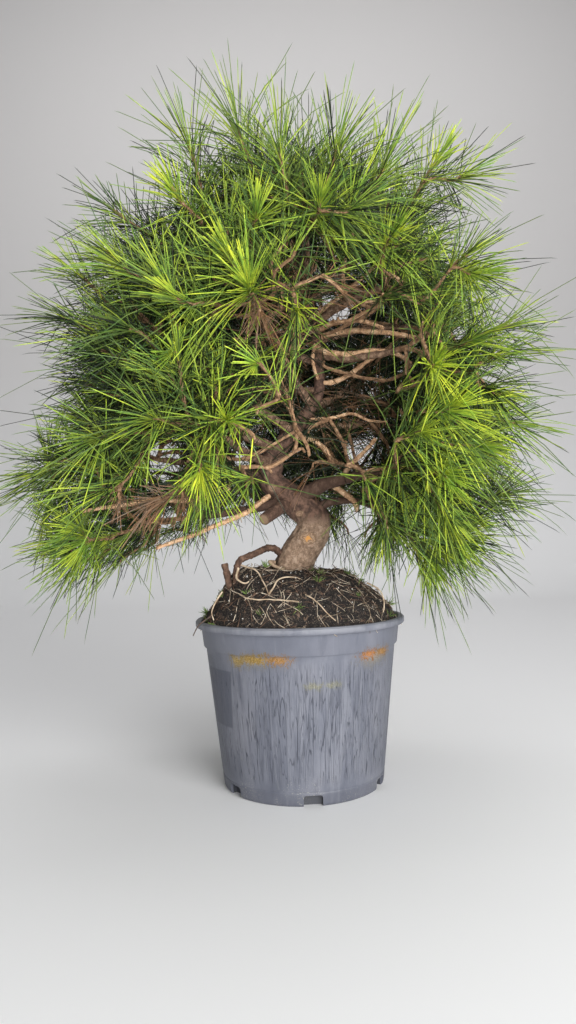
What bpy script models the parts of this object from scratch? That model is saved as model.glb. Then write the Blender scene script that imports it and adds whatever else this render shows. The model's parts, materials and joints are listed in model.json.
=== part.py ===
"""Aleppo pine grown on as a pre-bonsai, with its soil, in a round plastic nursery pot.

Metres, +Z up. The origin is the middle of the pot's flat underside and the front is towards -Y.
Azimuths are degrees round from +X towards +Y, elevations are degrees above the level.
"""

import math

import bpy
import numpy as np

# Clearance between neighbouring solids
GAP = 0.0003

# Nursery pot
LIP_RADIUS = 0.1125
POT_HEIGHT = 0.1748
LIP_DEPTH = 0.0068
BAND_TOP_RADIUS = 0.1073
BAND_FOOT_RADIUS = 0.1042
BAND_FOOT_HEIGHT = 0.1472
WALL_TOP_RADIUS = 0.1018
BASE_RADIUS = 0.0855
BASE_EDGE = 0.0015
POT_WALL = 0.0016
POT_FLOOR = 0.0022
FOOT_HEIGHT = 0.0130
FOOT_THICKNESS = 0.0095
POT_SIDES = 36
NOTCH_COUNT = 6
NOTCH_FIRST_AZIMUTH = -85.0
NOTCH_WIDTH = 0.019
NOTCH_HEIGHT = 0.011
NOTCH_CORNER = 0.003
NOTCH_REACH_IN = 0.007

# Mound of soil
SOIL_RIM_DROP = 0.0030
SEAT_HEIGHT = 0.2240
SEAT_RADIUS = 0.030
MOUND_RINGS = 5
MOUND_STEEPNESS = 2.4
MOUND_RISE_LEFT = 0.008
MOUND_RISE_END = 0.8
MOUND_LUMP = 0.0022

# Trunk: height, x, y and radius at its turning points. It sways smoothly between them and thins above each
TRUNK_TURNS = (
    (SEAT_HEIGHT + GAP, -0.0050, 0.000, 0.0200),
    (0.276, 0.018, -0.001, 0.0188),
    (0.331, -0.029, 0.010, 0.0140),
    (0.428, 0.029, -0.002, 0.0060),
    (0.480, 0.0265, 0.000, 0.0056),
    (0.600, 0.004, 0.001, 0.0036),
)
TRUNK_SIDES = 12
TRUNK_RING_STEP = 0.0125
TRUNK_LOOK_AHEAD = 0.017
FLARE_OUT = 0.0050
FLARE_HEIGHT = 0.011
FLARE_LOBES = 5
COLLAR_SWELL = 0.13
COLLAR_SPREAD = 0.010
COLLAR_HEIGHTS = (0.300, 0.342, 0.390, 0.452, 0.500)

# Crown: reach from its heart to the needle tips, every 30 degrees of elevation from -60 to 90
HEART = np.array((-0.005, 0.0, 0.460))
REACH_STEP = 30.0
REACH_LOWEST = -60.0
RIGHT_REACH = (0.338, 0.345, 0.320, 0.325, 0.340, 0.333)
LEFT_REACH = (0.425, 0.368, 0.320, 0.313, 0.315, 0.333)
CROWN_DEPTH = 0.86
# Height of the crown's lower edge, every 45 degrees round from the right towards the back
SKIRT_HEIGHTS = (0.165, 0.200, 0.255, 0.205, 0.098, 0.220, 0.280, 0.185)
SKIRT_INNER_HEIGHT = 0.310
SKIRT_RADIUS_RIGHT = 0.14
SKIRT_RADIUS_LEFT = 0.23
TARGET_ABOVE_SKIRT = 0.020
# Openings in the front of the crown, where the leader and the trunk show: x, z and half sizes at two depths
OPENING_FRONT_Y = -0.30
OPENING_BACK_Y = -0.02
OPENINGS = (
    ((0.036, 0.352, 0.034, 0.054), (0.060, 0.412, 0.050, 0.078)),
    ((0.008, 0.262, 0.034, 0.050), (0.012, 0.285, 0.046, 0.060)),
)

# Foliage masses: azimuth, elevation, and the trunk height, foot radius and arch of the bough behind each
MASSES = {
    "left_hanging": (-173, -45, 0.302, 0.0060, -0.004),
    "left_low": (-178, -24, 0.326, 0.0066, 0.004),
    "front_low_left": (-117, -26, 0.343, 0.0058, -0.006),
    "front_low_right": (-37, -34, 0.302, 0.0094, 0.012),
    "right_hanging": (-5, -50, 0.289, 0.0050, 0.022),
    "right_low": (14, -20, 0.384, 0.0044, 0.002),
    "back_low_right": (60, -33, 0.296, 0.0064, 0.012),
    "back_low_left": (121, -33, 0.321, 0.0062, 0.012),
    "left_middle": (-174, 1, 0.358, 0.0060, -0.008),
    "front_left": (-140, 5, 0.378, 0.0054, -0.008),
    "front_star": (-106, 12, 0.404, 0.0046, -0.006),
    "front_right_low": (-37, -7, 0.462, 0.0052, -0.012),
    "front_right": (-44, 16, 0.494, 0.0044, 0.010),
    "right_middle": (0, 10, 0.476, 0.0050, 0.012),
    "back_right": (47, 6, 0.402, 0.0052, -0.006),
    "back_middle": (92, 5, 0.366, 0.0058, -0.010),
    "back_left": (141, 1, 0.420, 0.0048, -0.004),
    "left_upper": (172, 27, 0.452, 0.0046, -0.006),
    "front_upper_left": (-136, 37, 0.486, 0.0044, -0.006),
    "front_top": (-82, 41, 0.535, 0.0036, -0.004),
    "front_top_right": (-28, 42, 0.519, 0.0038, -0.004),
    "right_upper": (20, 39, 0.503, 0.0042, -0.006),
    "back_upper": (76, 42, 0.484, 0.0046, -0.006),
    "back_upper_left": (129, 42, 0.522, 0.0038, -0.004),
    "top_left": (168, 66, 0.556, 0.0034, -0.004),
    "top": (10, 84, None, None, None),
}
SEED_DEPTH = 0.66
BOUGH_SHARE = 0.60
BOUGH_FOOT_OUT = 0.3
BOUGH_TIP_RADIUS = 0.0030
BOUGH_SIDES = 6
BOUGH_RINGS = 7
SPACE_MARGIN = 0.0016

# Shoots and needles
SHOOT_DIRECTIONS = 2400
SHOOT_SPACING = 0.0550
SHOOT_SPREAD_SEED = 37
NEEDLE_LENGTH = 0.072
NEEDLE_SHORTEST = 0.50
TIP_DEPTH = 0.062
TIP_DEPTH_SPREAD = 0.016
TARGET_PULL = 0.07
CORE_LENGTH = 0.030
CORE_LEVELS = 3
CORE_RADIUS = 0.0030
TWIG_LEVELS = 3
STEM_LEVELS = 5
TWIG_FOOT_RADIUS = 0.0013
TWIG_RADIUS = 0.0019
STEM_FOOT_RADIUS = 0.0032
TWIG_BEND = 0.34
JOINT_TRIES = 5
TURN_COST = 0.6
DISTANCE_COST = 0.2
SHOOT_LIFT = 0.34
LOW_SHOOTS = -0.42
HANG = 0.30
LEAN_AT_FOOT = 74.0
LEAN_AT_TIP = 26.0
NEEDLE_CLEARANCE = 0.0034
LIMB_CLEARANCE = 0.0030
TRUNK_MARGIN = 1.15

# Cut stub on the low whorl, and the roots that show above the soil
STUB_HEIGHT = 0.303
STUB_END = (-0.0345, -0.0405, 0.2800)
STUB_RADII = (0.0078, 0.0062)
# Dead limbs that show in the opening: the corners of their curves, and the radii at foot and tip
DEAD_LIMBS = {
    "dead_limb_low": (
        ((-0.009, 0.004, 0.369), (0.028, -0.006, 0.376), (0.041, -0.012, 0.338)),
        0.0030,
        0.0022,
    ),
    "dead_limb_middle": (
        ((0.029, -0.002, 0.430), (0.056, -0.012, 0.422), (0.070, -0.016, 0.446), (0.092, -0.020, 0.454)),
        0.0028,
        0.0021,
    ),
}
ROOT_ARCH = (
    (-0.0150, -0.004, 0.2345),
    (-0.0264, -0.012, 0.2627),
    (-0.0382, -0.024, 0.2461),
    (-0.0602, -0.031, 0.2390),
)
ROOT_SHOULDER = (-0.0668, -0.033, 0.2372)
ROOT_END = (-0.0655, -0.033, 0.2000)
ROOT_RADII = (0.0038, 0.0036, 0.0034)
SNAG_FOOT = (-0.0715, -0.028, 0.2000)
SNAG_TOP = (-0.0782, -0.028, 0.2350)
SNAG_RADIUS = 0.0036
ROOT_SIDES = 7


def clear_scene():
    for obj in list(bpy.data.objects):
        bpy.data.objects.remove(obj)


def make_material(name, color, roughness):
    material = bpy.data.materials.new(name)
    material.use_nodes = True
    shader = material.node_tree.nodes["Principled BSDF"]
    shader.inputs["Base Color"].default_value = (*color, 1.0)
    shader.inputs["Roughness"].default_value = roughness
    shader.inputs["Metallic"].default_value = 0.0
    material.diffuse_color = (*color, 1.0)
    return material


def make_object(name, points, faces, material, smooth_angle=None):
    mesh = bpy.data.meshes.new(name)
    mesh.from_pydata([tuple(map(float, point)) for point in points], [], faces)
    mesh.materials.append(material)
    if smooth_angle is not None:
        mesh.shade_smooth()
        mesh.set_sharp_from_angle(angle=math.radians(smooth_angle))
    obj = bpy.data.objects.new(name, mesh)
    bpy.context.scene.collection.objects.link(obj)
    return obj


def bake_modifiers(obj):
    """Keeps the evaluated mesh and drops the modifiers."""
    graph = bpy.context.evaluated_depsgraph_get()
    mesh = bpy.data.meshes.new_from_object(obj.evaluated_get(graph))
    obj.modifiers.clear()
    obj.data = mesh


def carve(obj, cutter):
    """Cuts the cutter's shape out of the object and removes the cutter."""
    modifier = obj.modifiers.new("carve", "BOOLEAN")
    modifier.operation = "DIFFERENCE"
    modifier.object = cutter
    bake_modifiers(obj)
    bpy.data.objects.remove(cutter)


def unit(vector):
    return vector / np.linalg.norm(vector)


def direction(azimuth, elevation):
    turn = math.radians(azimuth)
    rise = math.radians(elevation)
    return np.array((math.cos(rise) * math.cos(turn), math.cos(rise) * math.sin(turn), math.sin(rise)))


def curve_points(corners, count):
    """Points along the Bezier curve of the given corner points."""
    corners = [np.asarray(corner, float) for corner in corners]
    degree = len(corners) - 1
    points = []
    for t in np.linspace(0.0, 1.0, count):
        weights = [math.comb(degree, k) * t**k * (1 - t) ** (degree - k) for k in range(degree + 1)]
        points.append(sum(weight * corner for weight, corner in zip(weights, corners)))
    return np.array(points)


def frames_along(path, first_tangent=None):
    """A tangent and two side vectors at each point, turned as little as possible along the path."""
    tangents = [unit(path[min(i + 1, len(path) - 1)] - path[max(i - 1, 0)]) for i in range(len(path))]
    if first_tangent is not None:
        tangents[0] = unit(np.asarray(first_tangent, float))
    side = np.cross(tangents[0], (0.0, 1.0, 0.0))
    if np.linalg.norm(side) < 0.3:
        side = np.cross(tangents[0], (1.0, 0.0, 0.0))
    frames = []
    for tangent in tangents:
        side = unit(side - tangent * np.dot(side, tangent))
        frames.append((tangent, side, np.cross(tangent, side)))
    return frames


def lofted(rings):
    """Points and faces of a closed tube through rings of equal size, with flat ends."""
    sides = len(rings[0])
    points = [point for ring in rings for point in ring]
    faces = [list(range(sides - 1, -1, -1))]
    for ring in range(len(rings) - 1):
        low = ring * sides
        for k in range(sides):
            after = (k + 1) % sides
            faces.append([low + k, low + after, low + sides + after, low + sides + k])
    top = (len(rings) - 1) * sides
    faces.append(list(range(top, top + sides)))
    return points, faces


def tube(name, path, radii, sides, material, first_tangent=None):
    rings = []
    for (_, side, other), centre, radius in zip(frames_along(path, first_tangent), path, radii):
        turns = [2 * math.pi * k / sides for k in range(sides)]
        rings.append([centre + radius * (math.cos(a) * side + math.sin(a) * other) for a in turns])
    points, faces = lofted(rings)
    return make_object(name, points, faces, material, smooth_angle=50)


def turned(name, profile, material):
    """Solid of revolution. The profile runs from the axis at the bottom, outside, up and back to the axis."""
    points = []
    rows = []
    for radius, height in profile:
        if radius == 0:
            rows.append([len(points)] * POT_SIDES)
            points.append((0.0, 0.0, height))
            continue
        rows.append(list(range(len(points), len(points) + POT_SIDES)))
        for k in range(POT_SIDES):
            turn = 2 * math.pi * k / POT_SIDES
            points.append((radius * math.cos(turn), radius * math.sin(turn), height))
    faces = []
    for low, high in zip(rows, rows[1:]):
        for k in range(POT_SIDES):
            after = (k + 1) % POT_SIDES
            corners = [low[k], low[after], high[after], high[k]]
            faces.append(list(dict.fromkeys(corners)))
    return make_object(name, points, faces, material, smooth_angle=35)


def inner_radius(height):
    """Radius of the pot's inside, from the floor to the foot of the band."""
    share = (height - POT_FLOOR) / (BAND_FOOT_HEIGHT - POT_FLOOR)
    return BASE_RADIUS - POT_WALL + (WALL_TOP_RADIUS - BASE_RADIUS) * share


def make_pot(plastic):
    profile = (
        (0, 0),
        (BASE_RADIUS - BASE_EDGE, 0),
        (BASE_RADIUS, BASE_EDGE),
        (WALL_TOP_RADIUS, BAND_FOOT_HEIGHT),
        (BAND_FOOT_RADIUS, BAND_FOOT_HEIGHT),
        (BAND_TOP_RADIUS, POT_HEIGHT - LIP_DEPTH),
        (LIP_RADIUS, POT_HEIGHT - LIP_DEPTH),
        (LIP_RADIUS, POT_HEIGHT),
        (BAND_TOP_RADIUS - POT_WALL, POT_HEIGHT),
        (BAND_FOOT_RADIUS - POT_WALL, BAND_FOOT_HEIGHT + POT_WALL),
        (WALL_TOP_RADIUS - POT_WALL, BAND_FOOT_HEIGHT),
        (inner_radius(FOOT_HEIGHT), FOOT_HEIGHT),
        (BASE_RADIUS - FOOT_THICKNESS, FOOT_HEIGHT),
        (BASE_RADIUS - FOOT_THICKNESS, POT_FLOOR),
        (0, POT_FLOOR),
    )
    pot = turned("pot", profile, plastic)
    for k in range(NOTCH_COUNT):
        turn = math.radians(NOTCH_FIRST_AZIMUTH + 360 * k / NOTCH_COUNT)
        carve(pot, notch_cutter(turn, plastic))
    pot.data.shade_smooth()
    pot.data.set_sharp_from_angle(angle=math.radians(35))
    return pot


def notch_cutter(turn, material):
    """A block with two cut corners, standing across the foot of the wall."""
    half = NOTCH_WIDTH / 2
    inner = BASE_RADIUS - NOTCH_REACH_IN
    outer = BASE_RADIUS + NOTCH_REACH_IN
    outline = (
        (-half, -NOTCH_CORNER),
        (half, -NOTCH_CORNER),
        (half, NOTCH_HEIGHT - NOTCH_CORNER),
        (half - NOTCH_CORNER, NOTCH_HEIGHT),
        (NOTCH_CORNER - half, NOTCH_HEIGHT),
        (-half, NOTCH_HEIGHT - NOTCH_CORNER),
    )
    out = np.array((math.cos(turn), math.sin(turn), 0.0))
    across = np.array((-math.sin(turn), math.cos(turn), 0.0))
    up = np.array((0.0, 0.0, 1.0))
    rings = [[out * radius + across * x + up * z for x, z in outline] for radius in (inner, outer)]
    points, faces = lofted(rings)
    return make_object("notch_cutter", points, faces, material)


def soil_height(share, turn):
    """Height of the mound, from the trunk's seat (share 0) to the pot's wall (share 1)."""
    leftward = (1 - math.cos(turn)) / 2
    edge = POT_HEIGHT - SOIL_RIM_DROP
    lump = MOUND_LUMP * math.sin(3 * turn + 9 * share) * math.sin(math.pi * share)
    rise = MOUND_RISE_LEFT * leftward**2 * math.sin(math.pi * min(share / MOUND_RISE_END, 1.0))
    return edge + (SEAT_HEIGHT - edge) * (1 - share**MOUND_STEEPNESS) + lump + rise


def make_soil(name, peat, lift=0.0):
    """Root ball and mound. With lift it is raised, to cut what stands on it."""
    edge = POT_HEIGHT - SOIL_RIM_DROP
    band_slope = (BAND_TOP_RADIUS - BAND_FOOT_RADIUS) / (POT_HEIGHT - BAND_FOOT_HEIGHT)
    edge_radius = BAND_FOOT_RADIUS + band_slope * (edge - BAND_FOOT_HEIGHT) - POT_WALL - 2 * GAP
    profile = [
        (BASE_RADIUS - FOOT_THICKNESS - GAP, POT_FLOOR + GAP),
        (BASE_RADIUS - FOOT_THICKNESS - GAP, FOOT_HEIGHT + GAP),
        (inner_radius(FOOT_HEIGHT) - 2 * GAP, FOOT_HEIGHT + GAP),
        (WALL_TOP_RADIUS - POT_WALL - 2 * GAP, BAND_FOOT_HEIGHT - GAP),
        (BAND_FOOT_RADIUS - POT_WALL - 4 * GAP, BAND_FOOT_HEIGHT + POT_WALL + GAP),
        (edge_radius, edge),
    ]
    turns = [2 * math.pi * k / POT_SIDES for k in range(POT_SIDES)]
    rings = [[(r * math.cos(a), r * math.sin(a), z + lift) for a in turns] for r, z in profile]
    foot_x, foot_y = TRUNK_TURNS[0][1:3]
    for ring in range(MOUND_RINGS - 1, -1, -1):
        share = ring / MOUND_RINGS
        points = []
        for a in turns:
            x = (1 - share) * (foot_x + SEAT_RADIUS * math.cos(a)) + share * edge_radius * math.cos(a)
            y = (1 - share) * (foot_y + SEAT_RADIUS * math.sin(a)) + share * edge_radius * math.sin(a)
            points.append((x, y, soil_height(share, a) + lift))
        rings.append(points)
    points, faces = lofted(rings)
    return make_object(name, points, faces, peat)


def trunk_at(height):
    """Centre and radius of the trunk at a height."""
    for low, high in zip(TRUNK_TURNS, TRUNK_TURNS[1:]):
        if height <= high[0] or high is TRUNK_TURNS[-1]:
            t = min(max((height - low[0]) / (high[0] - low[0]), 0.0), 1.0)
            sway = t * t * (3 - 2 * t)
            x = low[1] + (high[1] - low[1]) * sway
            y = low[2] + (high[2] - low[2]) * sway
            radius = low[3] + (high[3] - low[3]) * t * (2 - t)
            return np.array((x, y, height)), radius
    return None


def collar(height):
    return 1 + COLLAR_SWELL * sum(math.exp(-(((height - at) / COLLAR_SPREAD) ** 2)) for at in COLLAR_HEIGHTS)


def make_trunk(name, bark, grow=0.0):
    """Trunk from its flat cut to its tip. With grow it is thicker, to cut the limbs that leave it."""
    bottom = TRUNK_TURNS[0][0]
    top = TRUNK_TURNS[-1][0]
    count = round((top - bottom) / TRUNK_RING_STEP)
    rings = []
    side = np.array((1.0, 0.0, 0.0))
    for i in range(count + 1):
        height = bottom + (top - bottom) * i / count
        centre, radius = trunk_at(height)
        tangent = trunk_at(height + TRUNK_LOOK_AHEAD)[0] - trunk_at(height - TRUNK_LOOK_AHEAD)[0]
        tangent = unit(tangent) if 0 < i < count else np.array((0.0, 0.0, 1.0))
        side = unit(side - tangent * np.dot(side, tangent))
        other = np.cross(tangent, side)
        flare = FLARE_OUT * math.exp(-(height - bottom) / FLARE_HEIGHT)
        ring = []
        for k in range(TRUNK_SIDES):
            turn = 2 * math.pi * k / TRUNK_SIDES
            lobe = 0.55 + 0.45 * math.sin(FLARE_LOBES * turn + 0.6)
            reach = radius * collar(height) + flare * lobe + grow
            ring.append(centre + reach * (math.cos(turn) * side + math.sin(turn) * other))
        rings.append(ring)
    points, faces = lofted(rings)
    return make_object(name, points, faces, bark, smooth_angle=50)


def table_at(values, elevation):
    """Smooth curve through values that stand REACH_STEP degrees apart."""
    place = min(max((elevation - REACH_LOWEST) / REACH_STEP, 0.0), len(values) - 1.0)
    k = min(int(place), len(values) - 2)
    t = place - k
    before, low = values[max(k - 1, 0)], values[k]
    high, after = values[k + 1], values[min(k + 2, len(values) - 1)]
    bend = 2 * before - 5 * low + 4 * high - after
    return low + 0.5 * t * (high - before + t * (bend + t * (3 * (low - high) + after - before)))


def crown_reach(toward):
    """Distance from the crown's heart to its outline, along a unit vector."""
    elevation = math.degrees(math.asin(max(-1.0, min(1.0, toward[2]))))
    level = math.hypot(toward[0], toward[1])
    rightward = (1 + (toward[0] / level if level > 1e-6 else 0.0)) / 2
    reach = table_at(RIGHT_REACH, elevation) * rightward + table_at(LEFT_REACH, elevation) * (1 - rightward)
    return reach * (1 - (1 - CROWN_DEPTH) * toward[1] ** 2)


def skirt_height(point):
    """Lowest height of foliage at a place. The underside rises towards the trunk."""
    x, y = point[:2] - HEART[:2]
    step = 2 * math.pi / len(SKIRT_HEIGHTS)
    place = (math.atan2(y, x) % (2 * math.pi)) / step
    k = int(place) % len(SKIRT_HEIGHTS)
    t = place - int(place)
    low, high = SKIRT_HEIGHTS[k], SKIRT_HEIGHTS[(k + 1) % len(SKIRT_HEIGHTS)]
    edge = low + (high - low) * t * t * (3 - 2 * t)
    away = math.hypot(x, y)
    leftward = (1 - (x / away if away > 1e-6 else 0.0)) / 2
    outward = min(away / (SKIRT_RADIUS_RIGHT + (SKIRT_RADIUS_LEFT - SKIRT_RADIUS_RIGHT) * leftward), 1.0)
    return SKIRT_INNER_HEIGHT + (edge - SKIRT_INNER_HEIGHT) * outward**2


def in_opening(point):
    """Whether a point stands in one of the openings in the front of the crown."""
    if not OPENING_FRONT_Y < point[1] < OPENING_BACK_Y:
        return False
    t = (point[1] - OPENING_FRONT_Y) / (OPENING_BACK_Y - OPENING_FRONT_Y)
    for front, back in OPENINGS:
        x, z, half_width, half_height = (a + (b - a) * t for a, b in zip(front, back))
        if ((point[0] - x) / half_width) ** 2 + ((point[2] - z) / half_height) ** 2 < 1:
            return True
    return False


def mass_seed(name):
    toward = direction(*MASSES[name][:2])
    return HEART + toward * crown_reach(toward) * SEED_DEPTH


def segment_gaps(start, end, starts, ends):
    """Shortest distances between one segment and each of many."""
    if len(starts) == 0:
        return np.array([np.inf])
    d1 = end - start
    d2 = ends - starts
    r = start - starts
    a = max(float(d1 @ d1), 1e-12)
    e = np.maximum((d2 * d2).sum(1), 1e-12)
    f = (d2 * r).sum(1)
    c = r @ d1
    b = d2 @ d1
    spread = a * e - b * b
    s = np.where(spread > 1e-12, np.clip((b * f - c * e) / np.maximum(spread, 1e-12), 0, 1), 0.0)
    t = np.clip((b * s + f) / e, 0, 1)
    s = np.clip((b * t - c) / a, 0, 1)
    near = (start + s[:, None] * d1) - (starts + t[:, None] * d2)
    return np.sqrt((near * near).sum(1))


class Limbs:
    """The bare limbs as short round segments, for clearance tests."""

    def __init__(self):
        self.starts = []
        self.ends = []
        self.radii = []

    def add(self, path, radii):
        for i in range(len(path) - 1):
            self.starts.append(path[i])
            self.ends.append(path[i + 1])
            self.radii.append(max(radii[i], radii[i + 1]))

    def clear_of(self, start, end, clearance):
        gaps = segment_gaps(start, end, np.array(self.starts), np.array(self.ends))
        return bool((gaps > np.array(self.radii) + clearance).all())


def bough_path(name):
    """Centre line and radii of the bough behind a mass. It starts inside the trunk."""
    _, _, height, foot_radius, arch = MASSES[name]
    axis, trunk_radius = trunk_at(height)
    start = axis + unit(mass_seed(name) - axis) * trunk_radius * BOUGH_FOOT_OUT
    end = start + (mass_seed(name) - start) * BOUGH_SHARE
    bend = (start + end) / 2 + np.array((0.0, 0.0, arch))
    path = curve_points((start, bend, end), BOUGH_RINGS)
    radii = np.linspace(foot_radius, BOUGH_TIP_RADIUS, BOUGH_RINGS)
    return path, radii


def make_boughs(bark, limbs):
    """One bough to each mass but the topmost. Returns where each mass's stem begins, and its heading."""
    stems = {}
    for name in MASSES:
        if MASSES[name][2] is None:
            tip = TRUNK_TURNS[-1]
            up = np.array((0.0, 0.0, 1.0))
            stems[name] = (np.array((tip[1], tip[2], tip[0])) + up * GAP, up)
            continue
        path, radii = bough_path(name)
        bough = tube("bough_" + name, path, radii, BOUGH_SIDES, bark)
        carve(bough, make_trunk("trunk_cutter", bark, GAP))
        limbs.add(path, radii)
        heading = unit(path[-1] - path[-2])
        stems[name] = (path[-1] + heading * GAP, heading)
    return stems


def make_stub(bark, limbs):
    start = trunk_at(STUB_HEIGHT)[0]
    path = curve_points((start, STUB_END), 3)
    radii = np.linspace(*STUB_RADII, 3)
    stub = tube("cut_stub", path, radii, BOUGH_SIDES + 2, bark)
    carve(stub, make_trunk("trunk_cutter", bark, GAP))
    limbs.add(path, radii)


def make_dead_limbs(bark, limbs):
    for name, (corners, foot_radius, tip_radius) in DEAD_LIMBS.items():
        path = curve_points(corners, BOUGH_RINGS)
        radii = np.linspace(foot_radius, tip_radius, len(path))
        carve(tube(name, path, radii, BOUGH_SIDES, bark), make_trunk("trunk_cutter", bark, GAP))
        limbs.add(path, radii)


def make_roots(bark, peat, limbs):
    """The root from the trunk to the soil, in two pieces that meet at its bend, and a snag beside it."""
    foot_radius, bend_radius, end_radius = ROOT_RADII
    arch = curve_points(ROOT_ARCH, 8)
    arch_radii = np.linspace(foot_radius, bend_radius, len(arch))
    carve(tube("root_arch", arch, arch_radii, ROOT_SIDES, bark), make_trunk("trunk_cutter", bark, GAP))
    heading = unit(arch[-1] - arch[-2])
    drop = curve_points((arch[-1] + heading * GAP, ROOT_SHOULDER, ROOT_END), 6)
    drop_radii = np.linspace(bend_radius, end_radius, len(drop))
    root_drop = tube("root_drop", drop, drop_radii, ROOT_SIDES, bark, heading)
    carve(root_drop, make_soil("soil_cutter", peat, GAP))
    snag = curve_points((SNAG_FOOT, SNAG_TOP), 3)
    snag_radii = [SNAG_RADIUS] * len(snag)
    carve(tube("root_snag", snag, snag_radii, ROOT_SIDES, bark), make_soil("soil_cutter", peat, GAP))
    for path, radii in ((arch, arch_radii), (drop, drop_radii), (snag, snag_radii)):
        limbs.add(path, radii)


def shoot_targets():
    """Ends of the shoots by mass, just inside the crown's outline and well apart from one another."""
    names = list(MASSES)
    seeds = np.array([mass_seed(name) for name in names])
    draw = np.random.default_rng(SHOOT_SPREAD_SEED)
    targets = {name: [] for name in names}
    taken = [HEART]
    golden = math.pi * (3 - math.sqrt(5))
    for k in draw.permutation(SHOOT_DIRECTIONS):
        height = 1 - 2 * (k + 0.5) / SHOOT_DIRECTIONS
        turn = k * golden
        level = math.sqrt(1 - height * height)
        toward = np.array((level * math.cos(turn), level * math.sin(turn), height))
        depth = TIP_DEPTH + draw.uniform(0.0, TIP_DEPTH_SPREAD)
        point = HEART + toward * (crown_reach(toward) - depth)
        if in_opening(point) or point[2] < skirt_height(point) + TARGET_ABOVE_SKIRT:
            continue
        if np.linalg.norm(np.array(taken) - point, axis=1).min() < SHOOT_SPACING:
            continue
        taken.append(point)
        nearest = int(np.argmin(((seeds - point) ** 2).sum(1)))
        point = point + (seeds[nearest] - point) * TARGET_PULL
        targets[names[nearest]].append((point, toward))
    return targets


def inside_space(point, own, seeds):
    """Whether a point is in its mass's own space: nearest its own seed, and inside the outline."""
    away = seeds - seeds[own]
    lengths = np.linalg.norm(away, axis=1)
    lengths[own] = 1.0
    middle = (seeds + seeds[own]) / 2
    beyond = ((point - middle) * away).sum(1) / lengths
    beyond[own] = -1.0
    if (beyond > -SPACE_MARGIN).any() or in_opening(point) or point[2] < skirt_height(point):
        return False
    out = point - HEART
    return np.linalg.norm(out) < crown_reach(unit(out))


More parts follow.
